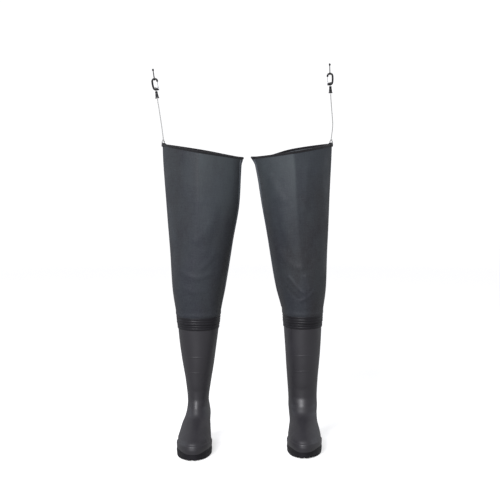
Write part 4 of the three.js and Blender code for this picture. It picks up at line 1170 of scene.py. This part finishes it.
def cord_knot(w):
    """The cord's knot round the ring, and the short tail that leaves it downwards."""
    h = w.hardware
    place = knot_place(w)
    wire = 0.8 * h.cord_radius
    lump = knot_tube(1.15 * h.knot_radius, 1.3 * h.knot_radius, wire) + place
    tail = place + smooth_path([(0, 0, 1 * MM), (1.8 * MM, -1.4 * MM, -0.5 * MM),
                                (2.6 * MM, -2.2 * MM, -4 * MM),
                                (2.4 * MM, -2.4 * MM, -8 * MM)], 16)
    end = wire_tube(tail, wire, (1, 0, 0), 10)
    return piece(f"{w.side}_suspender_knot", [
        grid(w.place(lump), True, True, uv=(2 * math.pi * wire, 0.05)),
        tube_grid(w.place(capped(end)), (2 * math.pi * wire, 0.009))], ["elastic_cord"])


def suspender_cord(w):
    """The elastic cord: a round tube along its route. It gives back the tube and the route."""
    h = w.hardware
    start = knot_place(w) + np.array([0, 0, 1.25 * h.knot_radius + CLEAR])
    route = smooth_path(start + np.array(CORD_ROUTES[w.side]) * MM, 57)
    r = h.cord_radius
    tube = wire_tube(route, r, (0, 1, 0), 16)
    run = np.linalg.norm(np.diff(route, axis=0), axis=1).sum()
    thing = piece(f"{w.side}_elastic_cord", [
        tube_grid(w.place(capped(tube)), (2 * math.pi * r, run))], ["elastic_cord"])
    return thing, w.place(route), run


def ferrule(w):
    """The clamp: a rounded oblong that tapers up, with a moulded lip at each end and a
    crimped waist. Its section is a superellipse at each height."""
    h = w.hardware
    top = h.ferrule_height
    shape = track([[0.0, 4.6, 2.8], [0.6 * MM, 5.6, 3.6], [2.6 * MM, 5.6, 3.6],
                   [3.4 * MM, 5.0, 3.2], [8 * MM, 4.4, 3.0], [12 * MM, 3.9, 3.0],
                   [16.8 * MM, 3.6, 2.9], [17.6 * MM, 3.9, 3.1], [top - 0.6 * MM, 3.9, 3.1],
                   [top, 3.2, 2.5]])
    z = spans((0, 4 * MM, 16), (4 * MM, 16 * MM, 14), (16 * MM, top, 16))
    sizes = shape(z) * MM
    rows = np.concatenate([sizes[:, None] * rounded(1, 1, 0.6, 40)[None],
                           np.broadcast_to(z[:, None, None], (len(z), 40, 1))], -1)
    return piece(f"{w.side}_cord_clamp", [tube_grid(w.place_head(capped(rows)))], ["ferrule"])


def swivel_pin(w):
    """The turned pin: a shank in the ferrule, a collar over it and a domed head in the hook."""
    h = w.hardware
    r, top = h.swivel_radius, h.ferrule_height
    base = top + 2.7 * MM
    head = base + 8 * MM + CLEAR
    outline = [(0, top - 9.7 * MM), (r, top - 9.7 * MM), (r, top + CLEAR),
               (2.6 * MM, top + CLEAR), (2.6 * MM, top + 2.1 * MM), (r, top + 2.1 * MM),
               (r, head), (2.6 * MM, head), (2.6 * MM, head + 0.8 * MM),
               (1.5 * MM, head + 1.4 * MM), (0, head + 1.4 * MM)]
    rows = lathe(fillet(outline, 0.35 * MM), 32)
    return piece(f"{w.side}_turned_swivel", [tube_grid(w.place_head(rows))], ["swivel_steel"])


# In the hook's own frame: the height of the middle of its bow, the place of the gate's pin, and
# the height of the foot of its base.
BOW_CENTRE = 49.7 * MM
GATE_X, GATE_PIN = -7.4 * MM, 27.5 * MM
HOOK_BASE = 22.7 * MM


def hook(w):
    """The hook: a rounded bar from its base along the spine and round the bow to the tip, with
    two cheeks on the base for the gate. The bar thins from the base to the bow."""
    h = w.hardware
    bow = (h.hook_opening + h.hook_bar) / 2
    arc = np.linspace(0, math.pi, 13)
    line = [(-2.2 * MM, 26.7 * MM), (0, 26.7 * MM), (2.2 * MM, 27.0 * MM), (4.4 * MM, 28.4 * MM),
            (6.1 * MM, 31.4 * MM), (6.9 * MM, 35 * MM), (bow, 40 * MM), (bow, 45 * MM)]
    line += [(bow * math.cos(q), BOW_CENTRE + bow * math.sin(q)) for q in arc]
    line += [(-bow, 47.2 * MM)]
    path = smooth_path([(x, 0, z) for x, z in line], 120)
    share = np.linspace(0, 1, len(path))
    thick = lerp(3.9 * MM, 0.56 * h.hook_bar, smooth(share, 0.02, 0.24))
    ends = np.sqrt(np.clip(1 - np.abs(2 * share - 1) ** 60, 0.06, 1))
    section = rounded(1, 1, 0.55, 28)[None] * np.stack(
        [thick * ends, 0.5 * h.hook_depth * ends], -1)[:, None]
    grids = [tube_grid(w.place_head(capped(sweep(path, section, (0, 1, 0)))))]
    plate = rounded(1, 1, 0.6, 32)
    for y0, y1 in ((-0.5 * h.hook_depth, -2.0 * MM), (2.0 * MM, 0.5 * h.hook_depth)):
        rows = []
        for y, inset in ((y0, 0.35), (y0 + 0.12 * MM, 0.12), (y0 + 0.4 * MM, 0.0),
                         (y1 - 0.4 * MM, 0.0), (y1 - 0.12 * MM, 0.12), (y1, 0.35)):
            x = -4.8 * MM + plate[:, 0] * (4.2 - inset) * MM
            z = HOOK_BASE + 4 * MM + plate[:, 1] * (4 - inset) * MM
            rows.append(np.stack([x, np.full(len(x), y), z], -1))
        grids.append(tube_grid(w.place_head(capped(np.array(rows)))))
    return piece(f"{w.side}_snap_hook_bar", grids, ["hook"])


def gate(w):
    """The gate: a leaf with a rounded section from its foot up to the bow's tip, dished along
    its middle, and an eye round the pin."""
    share = np.linspace(0, 1, 30)
    widen = smooth(share, 0.1, 0.25)
    path = np.stack([np.full(30, GATE_X), lerp(-0.75 * MM, 0.0, widen),
                     np.linspace(GATE_PIN, 46.7 * MM, 30)], -1)
    wide = lerp(0.85 * MM, 1.75 * MM, widen)
    thick = 0.95 * MM * (1 - 0.25 * np.sin(math.pi * share))
    ends = np.sqrt(np.clip(1 - np.abs(2 * share - 1) ** 40, 0.1, 1))
    section = rounded(1, 1, 0.5, 24)[None] * np.stack([thick * ends, wide * ends], -1)[:, None]
    leaf = capped(sweep(path, section, (0, 1, 0)))
    eye = lathe(fillet([(0.88 * MM, -0.95 * MM), (1.7 * MM, -0.95 * MM), (1.7 * MM, 0.95 * MM),
                        (0.88 * MM, 0.95 * MM)], 0.25 * MM), 28)
    eye = turned_to_y(eye, -0.7 * MM)
    return piece(f"{w.side}_gate_leaf", [
        tube_grid(w.place_head(leaf)), grid(w.place_head(eye), True, True)], ["gate_steel"])


def turned_to_y(points, y):
    """Points round the Z axis turned to lie round the gate's pin, which runs along Y."""
    return np.stack([GATE_X + points[..., 0], y + points[..., 2], GATE_PIN - points[..., 1]], -1)


def gate_pin(w):
    """The gate's rivet: a shank with a low dome at each end."""
    r, half = 0.8 * MM, 3.0 * MM
    dome = [(0, half + 0.3 * MM), (0.7 * MM, half + 0.2 * MM), (1.25 * MM, half),
            (1.25 * MM, half - 0.3 * MM), (r, half - 0.3 * MM)]
    outline = [(x, -y) for x, y in dome] + dome[::-1]
    rows = turned_to_y(lathe(fillet(outline, 0.12 * MM), 28), 0.0)
    return piece(f"{w.side}_gate_rivet", [tube_grid(w.place_head(rows))], ["pin_steel"])


def gate_spring(w):
    """The gate's spring: two turns of wire round the pin, (r cos a, pitch a, r sin a), and a
    leg that runs up the gate."""
    a = np.linspace(0, 4 * math.pi, 73)
    coil = np.stack([1.3 * MM * np.cos(a), 1.3 * MM * np.sin(a), 0.9 * MM * a / a[-1]], -1)
    coil = turned_to_y(coil, 0.45 * MM)
    leg = np.linspace(0, 1, 14)[1:, None] * np.array([[0.4 * MM, -0.4 * MM, 7 * MM]])
    path = np.vstack([coil, coil[-1] + leg])
    tube = capped(wire_tube(path, 0.21 * MM, (0, 1, 0), 8))
    return piece(f"{w.side}_torsion_spring", [tube_grid(w.place_head(tube))], ["spring_steel"])


def belt_loop(w):
    """The belt loop: a closed cord round the top of the bow, tied in a knot above it. It gives
    back the piece, and the line that its cord follows from the knot and back to it."""
    h = w.hardware
    r = h.loop_radius
    low = BOW_CENTRE + h.hook_opening / 2 - 2 * CLEAR - r
    side, top = h.hook_depth / 2 + CLEAR + r, low + h.loop_height
    fall = [(0.1 * side, top - 1.5 * MM), (0.4 * side, top - 4 * MM), (0.8 * side, low + 15 * MM),
            (side + 0.2 * MM, low + 8 * MM), (side + 0.5 * MM, low + 3.2 * MM),
            (0.75 * side, low + 0.5 * MM)]
    outline = fall + [(0, low)] + [(-y, z) for y, z in fall[::-1]]
    path = smooth_path([(0, y, z) for y, z in outline], 96)
    tube = wire_tube(path, r, (1, 0, 0), 12)
    run = np.linalg.norm(np.diff(path, axis=0), axis=1).sum()
    thing = piece(f"{w.side}_loop_cord", [
        tube_grid(w.place_head(capped(tube)), (2 * math.pi * r, run))], ["loop_cord"])
    lump = knot_tube(1.1 * h.knot_radius, 1.2 * h.knot_radius, 0.95 * r)
    knot = piece(f"{w.side}_loop_knot", [
        grid(w.place_head(lump + np.array([0, 0, top])), True, True, uv=(2 * math.pi * r, 0.04)),
    ], ["loop_cord"])
    return thing, knot, w.place_head(path), run


# ------------------------------------------------------------------------ stage

def studio_bowl():
    """The floor and the wall round it as one sheet: a level disc, then a quarter circle, then
    upright, turned round the Z axis. It lights nothing, so that the sides of the boots stay
    dark against it."""
    radius, floor, wall = 1.4, 4.8, 5.0
    q = np.linspace(0, math.pi / 2, 20)
    flat = np.linspace(0, floor, 13)[:-1]
    r = np.concatenate([flat, floor + radius * np.sin(q), [floor + radius]])
    z = np.concatenate([0 * flat, radius * (1 - np.cos(q)), [wall]])
    bowl = bpy.data.objects.new("studio_bowl", grid_mesh("studio_bowl", [
        tube_grid(lathe(np.column_stack([r, z]), 72))]))
    bpy.context.scene.collection.objects.link(bowl)
    bowl.visible_diffuse = bowl.visible_glossy = False
    f = Finish("studio_paper", Base_Color=(0.93, 0.93, 0.93, 1.0), Roughness=0.9,
               Emission_Color=(1.0, 1.0, 1.0, 1.0), Emission_Strength=0.55)
    bowl.data.materials.append(f.material)
    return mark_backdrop(bowl)


def softbox(name, place, target, width, height, power, colour=(1.0, 1.0, 1.0)):
    """A soft area light that faces a point."""
    lamp = bpy.data.lights.new(name, "AREA")
    lamp.shape, lamp.size, lamp.size_y = "RECTANGLE", width, height
    lamp.energy, lamp.color = power, colour
    box = bpy.data.objects.new(name, lamp)
    aim = Vector(target) - Vector(place)
    box.location, box.rotation_euler = place, aim.to_track_quat("-Z", "Y").to_euler()
    bpy.context.scene.collection.objects.link(box)


# ------------------------------------------------------------------- operators

def on_both(build):
    """Builds both waders' pieces."""
    for side in SIDES:
        build(Wader(side))
    return {"FINISHED"}


def stands_for(thing, w, body, *nodes):
    """The piece is shown instead of the wader's named CAD nodes, and rides on a body."""
    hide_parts(*(f"{w.side}_{node}" for node in nodes))
    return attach(thing, body if body == "sleeves" else f"{w.side}_{body}")


def bends_at_knee(thing, w, *nodes):
    """The piece is shown instead of the nodes, and its place is baked into its mesh."""
    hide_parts(*(f"{w.side}_{node}" for node in nodes))
    low, high = (w.place(np.array([0.0, 0.0, z])) for z in (w.knee_low, w.knee_high))
    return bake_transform(thing)


class WADERS_OT_stage(Operator):
    """Pale floor and wall, soft boxes and the camera"""

    bl_idname = "waders.stage"
    bl_label = "Stage"

    def execute(self, context):
        studio_bowl()
        world = bpy.data.worlds.new("studio_air")
        context.scene.world = world
        world.use_nodes = True
        air = world.node_tree.nodes["Background"].inputs
        air["Color"].default_value, air["Strength"].default_value = (0.98, 0.98, 1.0, 1.0), 0.42
        softbox("front_box", (-1.15, -3.2, 2.6), (0, 0, 0.6), 1.5, 1.0, 150.0, (0.96, 0.96, 1.0))
        for name, side in (("left_box", 1), ("right_box", -1)):
            softbox(name, (2.3 * side, 1.3, 1.1), (0, 0, 0.5), 0.6, 1.8, 4.0, (0.80, 0.88, 1.0))

        stage = context.scene.wader_stage
        axes = [Wader(side).origin for side in SIDES]
        lens = bpy.data.cameras.new("camera")
        lens.lens, lens.sensor_width = stage.lens, 36.0
        lens.clip_end = 50.0
        camera = bpy.data.objects.new("camera", lens)
        middle = (axes[0][0] + axes[1][0]) / 2
        camera.location = (middle - stage.aside, axes[1][1] - stage.distance, stage.height)
        camera.rotation_euler = (math.pi / 2 - stage.tilt, 0.0, 0.0)
        context.scene.collection.objects.link(camera)
        context.scene.camera = camera
        context.scene.view_settings.view_transform = "Standard"
        return {"FINISHED"}


class WADERS_OT_boots(Operator):
    """Moulded boots, and the knitted lining and felt insole in them"""

    bl_idname = "waders.boots"
    bl_label = "Boots"

    def execute(self, context):
        def build(w):
            stands_for(boot_shell(w), w, "boot", "boot_shell")
            for node, slot in (("boot_lining", "lining"), ("insole", "insole")):
                frame["nodes"][f"{w.side}_{node}"].material_slots[0].material = finish(slot)
        return on_both(build)


class WADERS_OT_soles(Operator):
    """Lugged outsoles, and the walls and spurs round the heels"""

    bl_idname = "waders.soles"
    bl_label = "Soles"

    def execute(self, context):
        def build(w):
            s = w.size
            stands_for(outsole(w), w, "boot", "outsole")
            cup = heel_wall(w, "heel_counter", "outsole", s.sole_thick + CLEAR, 37 * MM,
                            s.sole_flange, 66 * MM)
            stands_for(cup, w, "boot", "heel_cup")
            spur = heel_wall(w, "kick_off_spur", "boot", 66 * MM, 74 * MM, 4.5 * MM, 30 * MM)
            stands_for(spur, w, "boot", "heel_spur")
        return on_both(build)


class WADERS_OT_collar_bands(Operator):
    """Ribbed bands under the sleeves"""

    bl_idname = "waders.collar_bands"
    bl_label = "Collar bands"

    def execute(self, context):
        return on_both(lambda w: stands_for(collar_band(w), w, "boot", "collar_band"))


class WADERS_OT_rims(Operator):
    """Bindings and stitching round the rims, and the patches at their outer corners"""

    bl_idname = "waders.rims"
    bl_label = "Rims"

    def execute(self, context):
        def build(w):
            stands_for(rim_binding(w), w, "sleeves", "rim_binding")
            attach(rim_stitching(w), "sleeves")
            stands_for(corner_patch(w), w, "sleeves", "corner_patch")
        return on_both(build)


class WADERS_OT_sleeves(Operator):
    """Leg sleeves of coated cloth, with the tape over the inner seam"""

    bl_idname = "waders.sleeves"
    bl_label = "Sleeves"

    def execute(self, context):
        def build(w):
            cloth = bends_at_knee(sleeve(w), w, "sleeve_cuff", "sleeve_knee", "sleeve_thigh")
            tape = bends_at_knee(seam_tape(w), w, "seam_knee", "seam_thigh")
        return on_both(build)


class WADERS_OT_rings(Operator):
    """Wire rings in the corner patches"""

    bl_idname = "waders.rings"
    bl_label = "Rings"

    def execute(self, context):
        return on_both(lambda w: stands_for(strap_ring(w), w, "sleeves", "strap_ring"))


class WADERS_OT_ferrules(Operator):
    """Clamps at the cords' upper ends, and the pins that the hooks turn on"""

    bl_idname = "waders.ferrules"
    bl_label = "Ferrules"

    def execute(self, context):
        def build(w):
            stands_for(ferrule(w), w, "cord_end", "cord_ferrule")
            stands_for(swivel_pin(w), w, "cord_end", "swivel_pin")
        return on_both(build)


class WADERS_OT_cords(Operator):
    """Elastic suspender cords, and their knots on the rings"""

    bl_idname = "waders.cords"
    bl_label = "Suspender cords"

    def execute(self, context):
        def build(w):
            knot = stands_for(cord_knot(w), w, "sleeves", "cord_knot")
            cord, route, run = suspender_cord(w)
            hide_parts(f"{w.side}_suspender_cord")
            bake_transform(cord)
        return on_both(build)


class WADERS_OT_hooks(Operator):
    """Snap hooks with their gates, rivets and springs"""

    bl_idname = "waders.hooks"
    bl_label = "Snap hooks"

    def execute(self, context):
        def build(w):
            stands_for(hook(w), w, "snap_hook", "hook")
            stands_for(gate(w), w, "gate", "gate")
            stands_for(gate_pin(w), w, "snap_hook", "gate_pin")
            stands_for(gate_spring(w), w, "snap_hook", "gate_spring")
        return on_both(build)


class WADERS_OT_belt_loops(Operator):
    """Knotted cord loops in the hooks"""

    bl_idname = "waders.belt_loops"
    bl_label = "Belt loops"

    def execute(self, context):
        def build(w):
            loop, knot, route, run = belt_loop(w)
            stands_for(loop, w, "snap_hook", "belt_loop")
            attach(knot, f"{w.side}_snap_hook")
            bow_top = w.place_head(np.array([0.0, 0.0, BOW_CENTRE + 9 * MM]))
        return on_both(build)


class WADERS_PT_pieces(Panel):
    """Lists the steps that build the waders, and their sizes and colours."""

    bl_idname = "WADERS_PT_pieces"
    bl_label = "Hip Waders"
    bl_space_type = "VIEW_3D"
    bl_region_type = "UI"
    bl_category = "Waders"

    def draw(self, context):
        for step in STEPS:
            self.layout.operator(step.bl_idname)
        for group in GROUPS:
            column = self.layout.column()
            for name in GROUPS[group].__annotations__:
                column.prop(getattr(context.scene, group), name)


STEPS = (WADERS_OT_stage, WADERS_OT_boots, WADERS_OT_soles, WADERS_OT_collar_bands,
         WADERS_OT_rims, WADERS_OT_sleeves, WADERS_OT_rings, WADERS_OT_ferrules,
         WADERS_OT_cords, WADERS_OT_hooks, WADERS_OT_belt_loops)
GROUPS = {"wader_sizes": WaderSizes, "suspender_sizes": SuspenderSizes,
          "wader_finish": WaderFinish, "wader_stage": StageSizes}


def register():
    for kind in (*GROUPS.values(), *STEPS, WADERS_PT_pieces):
        bpy.utils.register_class(kind)
    for name, group in GROUPS.items():
        setattr(bpy.types.Scene, name, PointerProperty(type=group))


def unregister():
    for name in GROUPS:
        delattr(bpy.types.Scene, name)
    for kind in reversed((*GROUPS.values(), *STEPS, WADERS_PT_pieces)):
        bpy.utils.unregister_class(kind)


def main():
    register()
    for step in STEPS:
        group, name = step.bl_idname.split(".")
        getattr(getattr(bpy.ops, group), name)()


if __name__ == "__main__":
    main()
